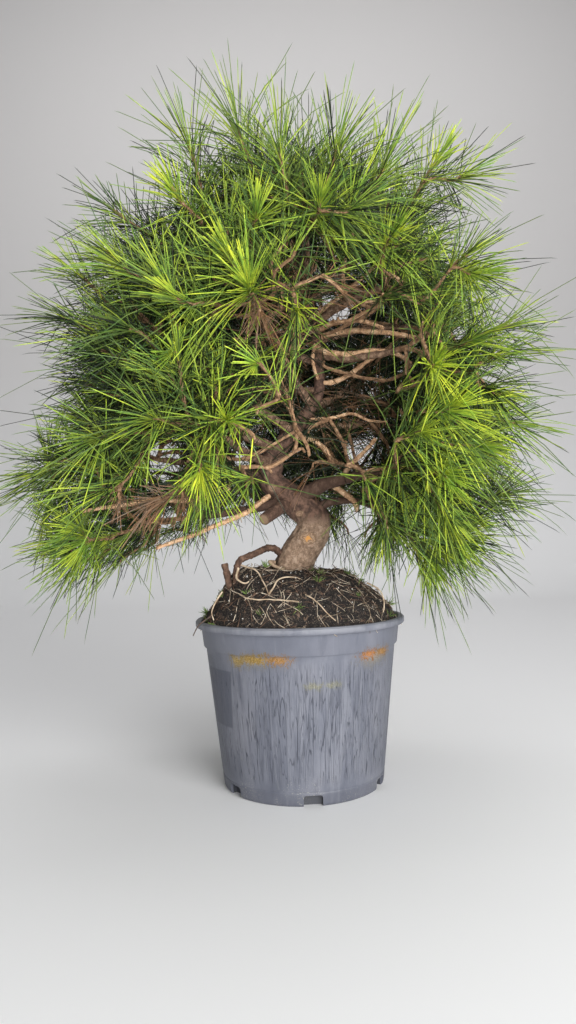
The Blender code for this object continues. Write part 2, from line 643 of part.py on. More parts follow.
class Mass:
    """One mass of foliage: a stem, the twigs on it and their needles, grown inside its own space."""

    def __init__(self, name, stem, limbs, seeds):
        self.name = name
        self.stem = stem
        self.limbs = limbs
        self.seeds = seeds
        self.own = list(MASSES).index(name)
        self.joints = []
        self.shoots = []
        self.twig_starts = []
        self.twig_ends = []
        self.needle_starts = []
        self.needle_ends = []

    def shoot_heading(self, toward):
        """Shoots turn up towards the light, but the low ones hang."""
        lift = SHOOT_LIFT if toward[2] > LOW_SHOOTS else -HANG
        return unit(toward + np.array((0.0, 0.0, lift)))

    def twig_path(self, start, heading, target, toward, levels):
        shoot = self.shoot_heading(toward)
        core_start = target - shoot * CORE_LENGTH
        span = np.linalg.norm(core_start - start)
        bend = span * TWIG_BEND
        corners = (start, start + heading * bend, core_start - shoot * bend, core_start)
        bare = curve_points(corners, levels + 1)
        core = [core_start + shoot * CORE_LENGTH * (k + 1) / CORE_LEVELS for k in range(CORE_LEVELS)]
        return np.vstack((bare, core))

    def path_fits(self, path, skip_first):
        if not all(inside_space(point, self.own, self.seeds) for point in path[skip_first:]):
            return False
        pairs = list(zip(path, path[1:]))[skip_first:]
        return all(self.limbs.clear_of(start, end, LIMB_CLEARANCE) for start, end in pairs)

    def keep(self, path, levels, foot_radius):
        self.shoots.append((path, levels, foot_radius))
        for i in range(1, levels):
            self.joints.append((path[i], unit(path[i + 1] - path[i - 1])))
        self.twig_starts.extend(path[:-1])
        self.twig_ends.extend(path[1:])

    def grow(self, targets):
        start, heading = self.stem
        seed = self.seeds[self.own]
        ordered = sorted(targets, key=lambda item: np.linalg.norm(item[0] - seed))
        leader = None
        for item in ordered:
            path = self.twig_path(start, heading, *item, STEM_LEVELS)
            if self.path_fits(path, 1):
                leader = item
                self.keep(path, STEM_LEVELS, STEM_FOOT_RADIUS)
                break
        if leader is None:
            raise ValueError("no stem fits in " + self.name)
        rest = [item for item in ordered if item is not leader]
        for target, toward in sorted(rest, key=lambda item: np.linalg.norm(item[0] - start)):
            self.add_twig(target, toward)

    def add_twig(self, target, toward):
        def effort(joint):
            point, heading = joint
            way = target - point
            length = np.linalg.norm(way)
            turning = 1 - np.dot(way / length, heading)
            return length * (1 + TURN_COST * turning) + DISTANCE_COST * np.linalg.norm(point - self.stem[0])

        for point, heading in sorted(self.joints, key=effort)[:JOINT_TRIES]:
            leaving = unit(heading + unit(target - point))
            path = self.twig_path(point, leaving, target, toward, TWIG_LEVELS)
            if self.path_fits(path, 0):
                self.keep(path, TWIG_LEVELS, TWIG_FOOT_RADIUS)
                return

    def needle_tip(self, root, way, own_twig):
        """Where the needle ends, or None if it would leave its space or touch something."""
        others = np.ones(len(self.twig_starts), bool)
        others[own_twig] = False
        twig_starts = np.array(self.twig_starts)[others]
        twig_ends = np.array(self.twig_ends)[others]
        for share in np.linspace(1.0, NEEDLE_SHORTEST, 5):
            tip = root + way * NEEDLE_LENGTH * share
            if not inside_space(tip, self.own, self.seeds):
                continue
            if not self.limbs.clear_of(root, tip, LIMB_CLEARANCE):
                continue
            if segment_gaps(root, tip, twig_starts, twig_ends).min() < NEEDLE_CLEARANCE:
                continue
            needles = segment_gaps(root, tip, np.array(self.needle_starts), np.array(self.needle_ends))
            if needles.min() < NEEDLE_CLEARANCE:
                continue
            return tip
        return None

    def shoot_mesh(self, index, first_segment):
        """A three-sided twig of triangles, whose outer faces are drawn out into needles."""
        path, levels, foot_radius = self.shoots[index]
        last = len(path) - 1
        radii = [foot_radius + (TWIG_RADIUS - foot_radius) * i / levels for i in range(levels + 1)]
        radii += [CORE_RADIUS, CORE_RADIUS, CORE_RADIUS * 0.8]
        points = []
        first = self.stem[1] if levels == STEM_LEVELS else None
        for i, (_, side, other) in enumerate(frames_along(path, first)):
            for k in range(3):
                turn = math.pi / 3 * (i + 2 * k)
                points.append(path[i] + radii[i] * (math.cos(turn) * side + math.sin(turn) * other))
        faces = [[0, 2, 1]]
        drawn_out = []
        for i in range(last):
            low, high = 3 * i, 3 * i + 3
            for k in range(3):
                after = (k + 1) % 3
                for face in ([low + k, low + after, high + k], [high + k, low + after, high + after]):
                    (drawn_out if i >= levels else faces).append(face)
        own_twig = slice(first_segment, first_segment + last)
        core_start = path[levels]
        axis = unit(path[-1] - core_start)
        mine = []
        for face in drawn_out + [[3 * last, 3 * last + 1, 3 * last + 2]]:
            centre = sum(points[k] for k in face) / 3
            along = min(max(np.dot(centre - core_start, axis) / CORE_LENGTH, 0.0), 1.0)
            out = centre - core_start - axis * np.dot(centre - core_start, axis)
            if np.linalg.norm(out) < 0.2 * CORE_RADIUS:
                way = axis
            else:
                lean = math.radians(LEAN_AT_FOOT + (LEAN_AT_TIP - LEAN_AT_FOOT) * along)
                way = math.cos(lean) * axis + math.sin(lean) * unit(out)
            tip = self.needle_tip(centre, way, own_twig)
            if tip is None:
                faces.append(face)
                continue
            mine.append((centre, tip))
            points.append(tip)
            top = len(points) - 1
            faces.extend([[face[0], face[1], top], [face[1], face[2], top], [face[2], face[0], top]])
        for centre, tip in mine:
            self.needle_starts.append(centre)
            self.needle_ends.append(tip)
        return points, faces

    def build(self, green):
        """Makes each shoot a closed mesh and joins them all with one union."""
        name = "foliage_" + self.name
        group = bpy.data.collections.new(name)
        bpy.context.scene.collection.children.link(group)
        first_segment = 0
        main = None
        for index, (path, _, _) in enumerate(self.shoots):
            points, faces = self.shoot_mesh(index, first_segment)
            first_segment += len(path) - 1
            shoot = make_object(name if main is None else "shoot", points, faces, green)
            if main is None:
                main = shoot
                continue
            bpy.context.scene.collection.objects.unlink(shoot)
            group.objects.link(shoot)
        if group.objects:
            union = main.modifiers.new("union", "BOOLEAN")
            union.operation = "UNION"
            union.operand_type = "COLLECTION"
            union.collection = group
            union.solver = "EXACT"
            bake_modifiers(main)
        for shoot in list(group.objects):
            bpy.data.objects.remove(shoot)
        bpy.data.collections.remove(group)
        return main


def main():
    clear_scene()
    plastic = make_material("grey_plastic", (0.200, 0.215, 0.245), 0.55)
    peat = make_material("peat", (0.045, 0.032, 0.024), 0.95)
    bark = make_material("bark", (0.300, 0.190, 0.125), 0.85)
    green = make_material("needles", (0.130, 0.270, 0.045), 0.60)
    make_pot(plastic)
    make_soil("soil", peat)
    make_trunk("trunk", bark)
    limbs = Limbs()
    heights = np.arange(TRUNK_TURNS[0][0], TRUNK_TURNS[-1][0], TRUNK_RING_STEP)
    stations = [trunk_at(height) for height in heights]
    limbs.add([centre for centre, _ in stations], [radius * TRUNK_MARGIN for _, radius in stations])
    stems = make_boughs(bark, limbs)
    make_stub(bark, limbs)
    make_dead_limbs(bark, limbs)
    make_roots(bark, peat, limbs)
    seeds = np.array([mass_seed(name) for name in MASSES])
    targets = shoot_targets()
    for name in MASSES:
        mass = Mass(name, stems[name], limbs, seeds)
        mass.grow(targets[name])
        mass.build(green)


main()
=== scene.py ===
import json
import math

import bpy
import numpy as np
from mathutils import Euler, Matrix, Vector, noise

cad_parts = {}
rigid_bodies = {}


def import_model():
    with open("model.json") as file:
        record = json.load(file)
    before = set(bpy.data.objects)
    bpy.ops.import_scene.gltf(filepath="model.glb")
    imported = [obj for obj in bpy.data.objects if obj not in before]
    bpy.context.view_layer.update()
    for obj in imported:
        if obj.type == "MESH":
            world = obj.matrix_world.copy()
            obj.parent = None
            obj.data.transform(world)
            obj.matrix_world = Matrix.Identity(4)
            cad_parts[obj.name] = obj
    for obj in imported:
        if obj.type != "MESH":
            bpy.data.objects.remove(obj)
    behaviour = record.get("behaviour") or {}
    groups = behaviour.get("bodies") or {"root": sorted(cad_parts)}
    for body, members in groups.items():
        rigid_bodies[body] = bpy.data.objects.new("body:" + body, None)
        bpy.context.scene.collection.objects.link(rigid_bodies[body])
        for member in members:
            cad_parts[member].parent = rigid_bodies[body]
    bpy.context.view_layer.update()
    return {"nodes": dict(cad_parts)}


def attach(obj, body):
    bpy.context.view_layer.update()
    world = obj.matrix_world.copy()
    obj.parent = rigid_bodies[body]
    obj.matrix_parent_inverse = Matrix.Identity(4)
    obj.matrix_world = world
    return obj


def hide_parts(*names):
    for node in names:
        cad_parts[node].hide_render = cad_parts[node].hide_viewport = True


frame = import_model()
nodeNames = list(frame["nodes"])
scene = bpy.context.scene
draw = np.random.default_rng(11)
noise.seed_set(11)  # noise_vector differs from run to run without it

# Azimuths are degrees round from +X towards +Y, elevations are degrees above the level.

camera = dict(
    place=(-0.0095, -0.8013, 0.2608),
    pitchUp=0.0346,
    roll=-0.0275,
    focalPixels=731.65,
    frameWidth=576,
    frameHeight=1024,
    sensor=36.0,
)


def makeCamera():
    data = bpy.data.cameras.new("camera")
    data.sensor_width = camera["sensor"]
    data.lens = camera["focalPixels"] / camera["frameHeight"] * camera["sensor"]
    data.clip_start = 0.01
    obj = bpy.data.objects.new("camera", data)
    obj.location = camera["place"]
    turn = Euler((math.pi / 2 + camera["pitchUp"], 0, 0)).to_matrix() @ Euler((0, 0, camera["roll"])).to_matrix()
    obj.rotation_euler = turn.to_euler()
    scene.collection.objects.link(obj)
    scene.camera = obj


def sightLine(u, v, ys):
    # the points at these depths that the photo shows at its pixel (u, v)
    across, down = u - camera["frameWidth"] / 2, v - camera["frameHeight"] / 2
    rollCos, rollSin = math.cos(camera["roll"]), math.sin(camera["roll"])
    x = (across * rollCos + down * rollSin) / camera["focalPixels"]
    drop = (down * rollCos - across * rollSin) / camera["focalPixels"]
    rise = math.tan(camera["pitchUp"] - math.atan(drop))
    x /= math.cos(camera["pitchUp"]) + drop * math.sin(camera["pitchUp"])
    ahead = np.asarray(ys, float) - camera["place"][1]
    return np.array(camera["place"]) + np.multiply.outer(ahead, (x, 1.0, rise))


makeCamera()
print("camera in place")


# Small helpers for meshes

def unit(v):
    return v / np.linalg.norm(v)


def direction(azimuth, elevation):
    turn, rise = math.radians(azimuth), math.radians(elevation)
    return np.array((math.cos(rise) * math.cos(turn), math.cos(rise) * math.sin(turn), math.sin(rise)))


def curvePoints(corners, count):
    corners = [np.asarray(corner, float) for corner in corners]
    degree = len(corners) - 1
    points = []
    for t in np.linspace(0, 1, count):
        weights = [math.comb(degree, k) * t**k * (1 - t) ** (degree - k) for k in range(degree + 1)]
        points.append(sum(w * corner for w, corner in zip(weights, corners)))
    return np.array(points)


def sideVectors(path, firstTangent=None):
    tangents = [unit(path[min(i + 1, len(path) - 1)] - path[max(i - 1, 0)]) for i in range(len(path))]
    if firstTangent is not None:
        tangents[0] = unit(np.asarray(firstTangent, float))
    side = np.cross(tangents[0], (0.0, 1.0, 0.0))
    if np.linalg.norm(side) < 0.3:
        side = np.cross(tangents[0], (1.0, 0.0, 0.0))
    sides = []
    for tangent in tangents:
        side = unit(side - tangent * np.dot(side, tangent))
        sides.append((side, np.cross(tangent, side)))
    return sides


def throughPoints(corners, count):
    # a smooth line that passes through every corner
    corners = np.array(corners, float)
    lengths = np.concatenate(([0], np.cumsum(np.linalg.norm(np.diff(corners, axis=0), axis=1))))
    slopes = np.gradient(corners, lengths, axis=0)
    points = []
    for at in np.linspace(0, lengths[-1], count):
        k = min(int(np.searchsorted(lengths, at, side="right")) - 1, len(corners) - 2)
        span = lengths[k + 1] - lengths[k]
        t = (at - lengths[k]) / span
        points.append((2 * t**3 - 3 * t**2 + 1) * corners[k] + (t**3 - 2 * t**2 + t) * span * slopes[k]
                      + (3 * t**2 - 2 * t**3) * corners[k + 1] + (t**3 - t**2) * span * slopes[k + 1])
    return np.array(points)


class MeshParts:
    # gathers many closed tubes into one mesh
    def __init__(self):
        self.points, self.faces = [], []
        self.count = 0

    def addRings(self, rings):
        sides, base = len(rings[0]), self.count
        for ring in rings:
            self.points.extend(ring)
        self.count += sides * len(rings)
        self.faces.append(tuple(range(base + sides - 1, base - 1, -1)))
        for r in range(len(rings) - 1):
            low = base + r * sides
            for k in range(sides):
                after = (k + 1) % sides
                self.faces.append((low + k, low + after, low + sides + after, low + sides + k))
        top = base + (len(rings) - 1) * sides
        self.faces.append(tuple(range(top, top + sides)))

    def addTube(self, path, radii, sides, shapeRadius=None):
        rings = []
        for i, ((u, v), centre, radius) in enumerate(zip(sideVectors(path), path, radii)):
            ring = []
            for k in range(sides):
                a = 2 * math.pi * k / sides
                out = math.cos(a) * u + math.sin(a) * v
                reach = radius if shapeRadius is None else shapeRadius(centre + radius * out, radius, i + k)
                ring.append(centre + reach * out)
            rings.append(ring)
        self.addRings(rings)

    def toObject(self, name, smooth=True):
        return newObject(name, self.points, self.faces, smooth)


def newObject(name, points, faces, smooth=True):
    mesh = bpy.data.meshes.new(name)
    mesh.from_pydata([tuple(float(c) for c in p) for p in points], [], faces)
    if smooth:
        mesh.shade_smooth()
        mesh.set_sharp_from_angle(angle=math.radians(60))
    obj = bpy.data.objects.new(name, mesh)
    scene.collection.objects.link(obj)
    return obj


def settle(obj, slotName, *replaced):
    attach(obj, "root")
    if replaced:
        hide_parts(*replaced)
    return obj


def bakeModifiers(obj):
    graph = bpy.context.evaluated_depsgraph_get()
    mesh = bpy.data.meshes.new_from_object(obj.evaluated_get(graph))
    obj.modifiers.clear()
    obj.data = mesh


# Node sockets as values, for shaders and for geometry nodes

class Value:
    def __init__(self, tree, socket):
        self.tree, self.socket = tree, socket

    def math(self, operation, *others, swap=False):
        node = self.tree.nodes.new("ShaderNodeMath")
        node.operation = operation
        for k, value in enumerate([*others, self] if swap else [self, *others]):
            link(self.tree, value, node.inputs[k])
        return Value(self.tree, node.outputs[0])

    def __add__(self, other): return self.math("ADD", other)
    def __radd__(self, other): return self.math("ADD", other, swap=True)
    def __sub__(self, other): return self.math("SUBTRACT", other)
    def __rsub__(self, other): return self.math("SUBTRACT", other, swap=True)
    def __mul__(self, other): return self.math("MULTIPLY", other)
    def __rmul__(self, other): return self.math("MULTIPLY", other, swap=True)
    def __truediv__(self, other): return self.math("DIVIDE", other)
    def __gt__(self, other): return self.math("GREATER_THAN", other)
    def __lt__(self, other): return self.math("LESS_THAN", other)
    def root(self): return self.math("SQRT")
    def smallest(self, other): return self.math("MINIMUM", other)


def link(tree, value, socket):
    if isinstance(value, Value):
        tree.links.new(value.socket, socket)
    elif value is not None:
        socket.default_value = value


class Graph:
    def __init__(self, tree):
        self.tree = tree

    def node(self, kind, settings=None, sockets=None, output=0):
        node = self.tree.nodes.new(kind)
        for key, value in (settings or {}).items():
            if key == "stops":
                ramp = node.color_ramp
                while len(ramp.elements) < len(value):
                    ramp.elements.new(0.5)
                for element, (place, color) in zip(ramp.elements, value):
                    element.position = place
                    element.color = (*color, 1)
            else:
                setattr(node, key, value)
        for key, value in (sockets or {}).items():
            link(self.tree, value, node.inputs[key])
        return Value(self.tree, node.outputs[output])

    def vector(self, operation, first, second=None, **more):
        sockets = {0: first, **more}
        if second is not None:
            sockets[1] = second
        output = "Value" if operation in ("DISTANCE", "LENGTH", "DOT_PRODUCT") else "Vector"
        return self.node("ShaderNodeVectorMath", {"operation": operation}, sockets, output)


class Paint(Graph):
    # one material and the nodes it is made of
    def __init__(self, name, roughness=0.6):
        self.material = bpy.data.materials.new(name)
        self.material.use_nodes = True
        super().__init__(self.material.node_tree)
        self.shader = self.tree.nodes["Principled BSDF"]
        self.shader.inputs["Roughness"].default_value = roughness

    def place(self, scale=(1, 1, 1)):
        coords = self.node("ShaderNodeTexCoord", output="Object")
        return self.node("ShaderNodeMapping", sockets={"Vector": coords, "Scale": scale})

    def axes(self):
        node = self.node("ShaderNodeSeparateXYZ", sockets={"Vector": self.place()}).socket.node
        return [Value(self.tree, node.outputs[k]) for k in range(3)]

    def noise(self, scale, detail=4.0, roughness=0.55, stretch=(1, 1, 1), distortion=0.0, at=None):
        sockets = {"Vector": at or self.place(stretch), "Scale": scale, "Detail": detail, "Roughness": roughness,
                   "Distortion": distortion}
        return self.node("ShaderNodeTexNoise", sockets=sockets)

    def ramp(self, value, stops):
        return self.node("ShaderNodeValToRGB", {"stops": stops}, {"Fac": value})

    def step(self, value, low, high):
        sockets = {"Value": value, "From Min": low, "From Max": high}
        return self.node("ShaderNodeMapRange", {"interpolation_type": "SMOOTHSTEP"}, sockets)

    def near(self, centre, radius, soft=0.4):
        # 1 inside the given distance of a point, 0 outside it
        away = self.vector("DISTANCE", self.place(), centre)
        return self.step(away, radius * (1 + soft), radius * (1 - soft))

    def mix(self, share, first, second, blend="MIX"):
        node = self.tree.nodes.new("ShaderNodeMix")
        node.data_type = "RGBA"
        node.blend_type = blend
        link(self.tree, share, node.inputs[0])
        for socket, color in ((node.inputs[6], first), (node.inputs[7], second)):
            link(self.tree, color if isinstance(color, Value) else (*color, 1), socket)
        return Value(self.tree, node.outputs[2])

    def bump(self, height, strength, distance):
        sockets = {"Height": height, "Strength": strength, "Distance": distance}
        return self.node("ShaderNodeBump", sockets=sockets)

    def finish(self, color, roughness=None, normal=None):
        link(self.tree, color if isinstance(color, Value) else (*color, 1), self.shader.inputs["Base Color"])
        link(self.tree, roughness, self.shader.inputs["Roughness"])
        link(self.tree, normal, self.shader.inputs["Normal"])
        return self.material


class Growth(Graph):
    # a geometry node group whose named inputs are set on the modifier
    def __init__(self, name, **inputs):
        super().__init__(bpy.data.node_groups.new(name, "GeometryNodeTree"))
        face = self.tree.interface
        face.new_socket("Geometry", in_out="INPUT", socket_type="NodeSocketGeometry")
        self.ids = {}
        for label, value in inputs.items():
            kind = "NodeSocketInt" if isinstance(value, int) else "NodeSocketFloat"
            socket = face.new_socket(label, in_out="INPUT", socket_type=kind)
            socket.default_value = value
            self.ids[label] = socket.identifier
        face.new_socket("Geometry", in_out="OUTPUT", socket_type="NodeSocketGeometry")
        self.given = self.node("NodeGroupInput").socket.node

    def get(self, label):
        return Value(self.tree, self.given.outputs[label])

    def layer(self, label, kind="FLOAT_VECTOR"):
        return self.node("GeometryNodeInputNamedAttribute", {"data_type": kind}, {"Name": label}, "Attribute")

    def stand(self, points, template, rotation, scale, material, sink=None):
        # puts the template on every point, as real faces with the material
        shape = self.node("GeometryNodeObjectInfo", sockets={"Object": template}, output="Geometry")
        sockets = {"Points": points, "Instance": shape, "Rotation": rotation, "Scale": scale}
        mesh = self.node("GeometryNodeRealizeInstances",
                         sockets={0: self.node("GeometryNodeInstanceOnPoints", sockets=sockets)})
        if sink is not None:
            mesh = self.node("GeometryNodeSetPosition", sockets={"Geometry": mesh, "Offset": sink})
        mesh = self.node("GeometryNodeSetMaterial", sockets={"Geometry": mesh, "Material": material})
        link(self.tree, mesh, self.tree.nodes.new("NodeGroupOutput").inputs[0])

    def apply(self, obj, **inputs):
        modifier = obj.modifiers.new("growth", "NODES")
        modifier.node_group = self.tree
        for label, value in inputs.items():
            modifier[self.ids[label]] = value
        bakeModifiers(obj)


# Pot

pot = dict(
    lipRadius=0.1125,
    height=0.1748,
    lipDepth=0.0068,
    bandTopRadius=0.1073,
    bandFootRadius=0.1042,
    bandFootHeight=0.1472,
    wallTopRadius=0.1018,
    baseRadius=0.0855,
    floorLine=0.0130,
    wall=0.0016,
    floor=0.0022,
    footThickness=0.0095,
    sides=180,
    notches=6,
    notchFirst=-85.0,
    notchWidth=0.019,
    notchHeight=0.011,
)


# Stains: azimuth, height, half width, half height, colour and strength
potStains = (
    (-117, 0.1420, 0.021, 0.0070, (0.30, 0.27, 0.190), 0.55),
    (-117, 0.1435, 0.020, 0.0055, (0.40, 0.25, 0.050), 0.95),
    (-129, 0.1415, 0.010, 0.0070, (0.38, 0.26, 0.070), 0.90),
    (-103, 0.1435, 0.014, 0.0050, (0.40, 0.20, 0.045), 0.95),
    (-44, 0.1400, 0.022, 0.0100, (0.30, 0.26, 0.180), 0.55),
    (-48, 0.1440, 0.013, 0.0055, (0.46, 0.17, 0.020), 0.95),
    (-37, 0.1445, 0.012, 0.0050, (0.40, 0.20, 0.040), 0.95),
    (-84, 0.1180, 0.010, 0.0036, (0.36, 0.34, 0.160), 0.50),
    (-73, 0.1180, 0.010, 0.0036, (0.36, 0.34, 0.160), 0.45),
    (-52, 0.1560, 0.0016, 0.0016, (0.03, 0.03, 0.035), 0.90),
)


def innerRadius(height):
    share = (height - pot["floor"]) / (pot["bandFootHeight"] - pot["floor"])
    return pot["baseRadius"] - pot["wall"] + (pot["wallTopRadius"] - pot["baseRadius"]) * share


def potOutline():
    # points of the wall's section, outside up and inside down
    lipFoot = pot["height"] - pot["lipDepth"]
    slope = (pot["wallTopRadius"] - pot["baseRadius"]) / pot["bandFootHeight"]
    points = [(pot["baseRadius"] - 0.0015, 0), (pot["baseRadius"], 0.0015)]
    for z in (0.004, 0.007, 0.011):
        points.append((pot["baseRadius"] + slope * z, z))
    points.append((pot["baseRadius"] + slope * pot["floorLine"] - 0.0001, pot["floorLine"]))
    points.append((pot["baseRadius"] + slope * pot["floorLine"] - 0.0005, pot["floorLine"] + 0.0006))
    for z in np.linspace(pot["floorLine"] + 0.004, pot["bandFootHeight"] - 0.001, 22):
        points.append((pot["baseRadius"] + slope * z, z))
    points += [
        (pot["wallTopRadius"] + 0.0004, pot["bandFootHeight"] - 0.0002),
        (pot["bandFootRadius"] - 0.0005, pot["bandFootHeight"]),
        (pot["bandFootRadius"], pot["bandFootHeight"] + 0.0008),
        (pot["bandTopRadius"] - 0.0008, lipFoot - 0.0015),
        (pot["bandTopRadius"], lipFoot),
        (pot["lipRadius"] - 0.0010, lipFoot),
        (pot["lipRadius"], lipFoot + 0.0012),
        (pot["lipRadius"], pot["height"] - 0.0016),
        (pot["lipRadius"] - 0.0015, pot["height"]),
        (pot["bandTopRadius"] - pot["wall"] + 0.0012, pot["height"]),
        (pot["bandTopRadius"] - pot["wall"], pot["height"] - 0.0012),
        (pot["bandFootRadius"] - pot["wall"], pot["bandFootHeight"] + pot["wall"]),
        (pot["wallTopRadius"] - pot["wall"], pot["bandFootHeight"]),
        (innerRadius(pot["floorLine"]), pot["floorLine"]),
        (pot["baseRadius"] - pot["footThickness"], pot["floorLine"]),
        (pot["baseRadius"] - pot["footThickness"], pot["floor"]),
    ]
    return points


def makePot():
    points, faces, rows = [], [], []
    outline = [(0, 0)] + potOutline() + [(0, pot["floor"])]
    for radius, z in outline:
        if radius == 0:
            rows.append([len(points)] * pot["sides"])
            points.append((0, 0, z))
            continue
        rows.append(list(range(len(points), len(points) + pot["sides"])))
        for k in range(pot["sides"]):
            a = 2 * math.pi * k / pot["sides"]
            dent = 1 + 0.004 * noise.noise(Vector((math.cos(a), math.sin(a), z * 6))) if z > 0.02 else 1
            dent = min(dent, 1.0)
            points.append((radius * dent * math.cos(a), radius * dent * math.sin(a), z))
    for low, high in zip(rows, rows[1:]):
        for k in range(pot["sides"]):
            after = (k + 1) % pot["sides"]
            faces.append(tuple(dict.fromkeys((low[k], low[after], high[after], high[k]))))
    obj = newObject("potShell", points, faces)
    for k in range(pot["notches"]):
        cutNotch(obj, math.radians(pot["notchFirst"] + 360 * k / pot["notches"]))
    obj.data.shade_smooth()
    obj.data.set_sharp_from_angle(angle=math.radians(40))
    obj.data.materials.clear()
    obj.data.materials.append(potPaint())
    return settle(obj, "pot_plastic", "pot")


def cutNotch(obj, turn):
    half, tall, corner = pot["notchWidth"] / 2, pot["notchHeight"], 0.003
    outline = [(-half, -0.003), (half, -0.003)]
    for side in (1, -1):
        for k in range(4):
            a = math.pi / 2 * (k / 3 if side == 1 else 1 - k / 3)
            outline.append((side * (half - corner + corner * math.cos(a)), tall - corner + corner * math.sin(a)))
    out = np.array((math.cos(turn), math.sin(turn), 0))
    across = np.array((-math.sin(turn), math.cos(turn), 0))
    up = np.array((0, 0, 1))
    parts = MeshParts()
    parts.addRings([[out * (pot["baseRadius"] + reach) + across * x + up * z for x, z in outline]
                    for reach in (-0.007, 0.007)])
    cutter = parts.toObject("notchCutter", smooth=False)
    cut = obj.modifiers.new("cut", "BOOLEAN")
    cut.operation = "DIFFERENCE"
    cut.object = cutter
    bakeModifiers(obj)
    bpy.data.objects.remove(cutter)


def onPot(azimuth, height):
    # a point on the outside of the wall
    slope = (pot["wallTopRadius"] - pot["baseRadius"]) / pot["bandFootHeight"]
    radius = pot["baseRadius"] + slope * height
    a = math.radians(azimuth)
    return (radius * math.cos(a), radius * math.sin(a), height)


def potPaint():
    p = Paint("weatheredPlastic")
    x, y, z = p.axes()
    cloud = p.noise(22, 6, 0.62, (1, 1, 0.6))
    streak = p.noise(90, 6, 0.65, (1, 1, 0.06), 0.3)
    grit = p.noise(1000, 3, 0.6)
    patches = p.noise(42, 4, 0.6, (1, 1, 0.5))
    color = p.ramp(cloud, ((0.32, (0.095, 0.102, 0.130)), (0.50, (0.128, 0.136, 0.168)), (0.72, (0.184, 0.189, 0.220))))
    color = p.mix(p.step(streak, 0.54, 0.66) * 0.45, color, (0.067, 0.072, 0.097))
    color = p.mix(p.step(streak, 0.44, 0.32) * 0.35, color, (0.241, 0.248, 0.278))
    # fine wrinkles run up the wall between the floor line and the band, as contours of two noises on the unrolled wall
    onWall = p.step(z, 0.016, 0.030) * p.step(z, 0.147, 0.122)
    around = (x * x + y * y).root()
    unrolled = p.node("ShaderNodeCombineXYZ", sockets={0: x / around, 1: y / around, 2: z * 0.6})
    broad = p.noise(12, 2, 0.5, distortion=0.10, at=unrolled)
    narrow = p.noise(22, 2, 0.5, distortion=0.08, at=unrolled)
    lines = p.step((broad * 9.0).math("PINGPONG", 0.5), 0.110, 0.015) * p.step(patches, 0.26, 0.44)
    hairs = p.step((narrow * 8.0).math("PINGPONG", 0.5), 0.130, 0.015) * p.step(patches, 0.68, 0.46)
    lines = (lines + hairs * 0.7).smallest(1.0) * onWall
    color = p.mix(lines * 0.78, color, (0.024, 0.028, 0.042))
    ridges = p.step(narrow, 0.50, 0.62) * onWall
    color = p.mix(ridges * 0.25, color, (0.220, 0.228, 0.262))
    # the band and the lip are plainer, the foot is darker
    color = p.mix(p.step(z, 0.1455, 0.1475) * 0.35, color, (0.141, 0.149, 0.182))
    color = p.mix(p.step(z, 0.0150, 0.0115) * 0.40, color, (0.064, 0.067, 0.087))
    # the lip is worn pale, and lime crumbs stick to the foot
    worn = p.step(z, pot["height"] - 0.008, pot["height"] - 0.003) * p.step(patches, 0.38, 0.58)
    color = p.mix(worn * 0.55, color, (0.262, 0.268, 0.290))
    lime = p.step(grit, 0.60, 0.68) * p.step(z, 0.040, 0.006) * p.step(patches, 0.48, 0.60)
    color = p.mix(lime * 0.75, color, (0.520, 0.500, 0.400))
    # a plain darker patch where a label was
    patch = p.step(x, -0.0700, -0.0712) * p.step(y, -0.026, -0.029) * p.step(z, 0.070, 0.072) * p.step(z, 0.130, 0.128)
    color = p.mix(patch * (y < 0.0) * 0.65, color, (0.050, 0.056, 0.081))
    crust = p.noise(330, 5, 0.75, (1, 1, 0.5), 1.0)
    for azimuth, height, wide, tall, tone, share in potStains:
        cx, cy, cz = onPot(azimuth, height)
        apart = ((x - cx) * (x - cx) + (y - cy) * (y - cy)).root() / wide
        up = (z - cz) / tall
        away = (apart * apart + up * up).root() + (crust - 0.5) * 5.0 + (grit - 0.5) * 3.0
        mottled = p.mix(p.step(grit + crust, 0.90, 1.12), tuple(c * 0.42 for c in tone), tone)
        color = p.mix(p.step(away, 1.15, 0.55) * share, color, mottled)
    color = p.mix(p.step(grit, 0.68, 0.75) * 0.35, color, (0.335, 0.341, 0.362))
    # the foot's insides, seen through the notches, are painted near black: painted shade in the hollow foot
    within = (x * x + y * y).root() < pot["baseRadius"] - 0.0022
    color = p.mix(within * (z < pot["floorLine"]) * 0.75, color, (0.018, 0.019, 0.023))
    relief = streak * 0.4 + grit * 0.15 - lines * 1.3
    return p.finish(color, 0.42 + cloud * 0.25, p.bump(relief, 0.50, 0.0008))


makePot()
print("pot done")


# Soil mound and what lies on it

soil = dict(
    rimDrop=0.0030,
    seatHeight=0.2240,
    seatRadius=0.030,
    steepness=2.4,
    riseLeft=0.008,
    riseEnd=0.8,
    lump=0.0022,
    crumb=0.0036,
    sides=240,
    rings=60,
)
trunkFoot = (-0.005, 0.000)


def soilHeight(share, turn):
    leftward = (1 - math.cos(turn)) / 2
    edge = pot["height"] - soil["rimDrop"]
    lump = soil["lump"] * math.sin(3 * turn + 9 * share) * math.sin(math.pi * share)
    rise = soil["riseLeft"] * leftward**2 * math.sin(math.pi * min(share / soil["riseEnd"], 1.0))
    return edge + (soil["seatHeight"] - edge) * (1 - share ** soil["steepness"]) + lump + rise


def soilEdge():
    edge = pot["height"] - soil["rimDrop"]
    slope = (pot["bandTopRadius"] - pot["bandFootRadius"]) / (pot["height"] - pot["bandFootHeight"])
    return pot["bandFootRadius"] + slope * (edge - pot["bandFootHeight"]) - pot["wall"] - 0.0008


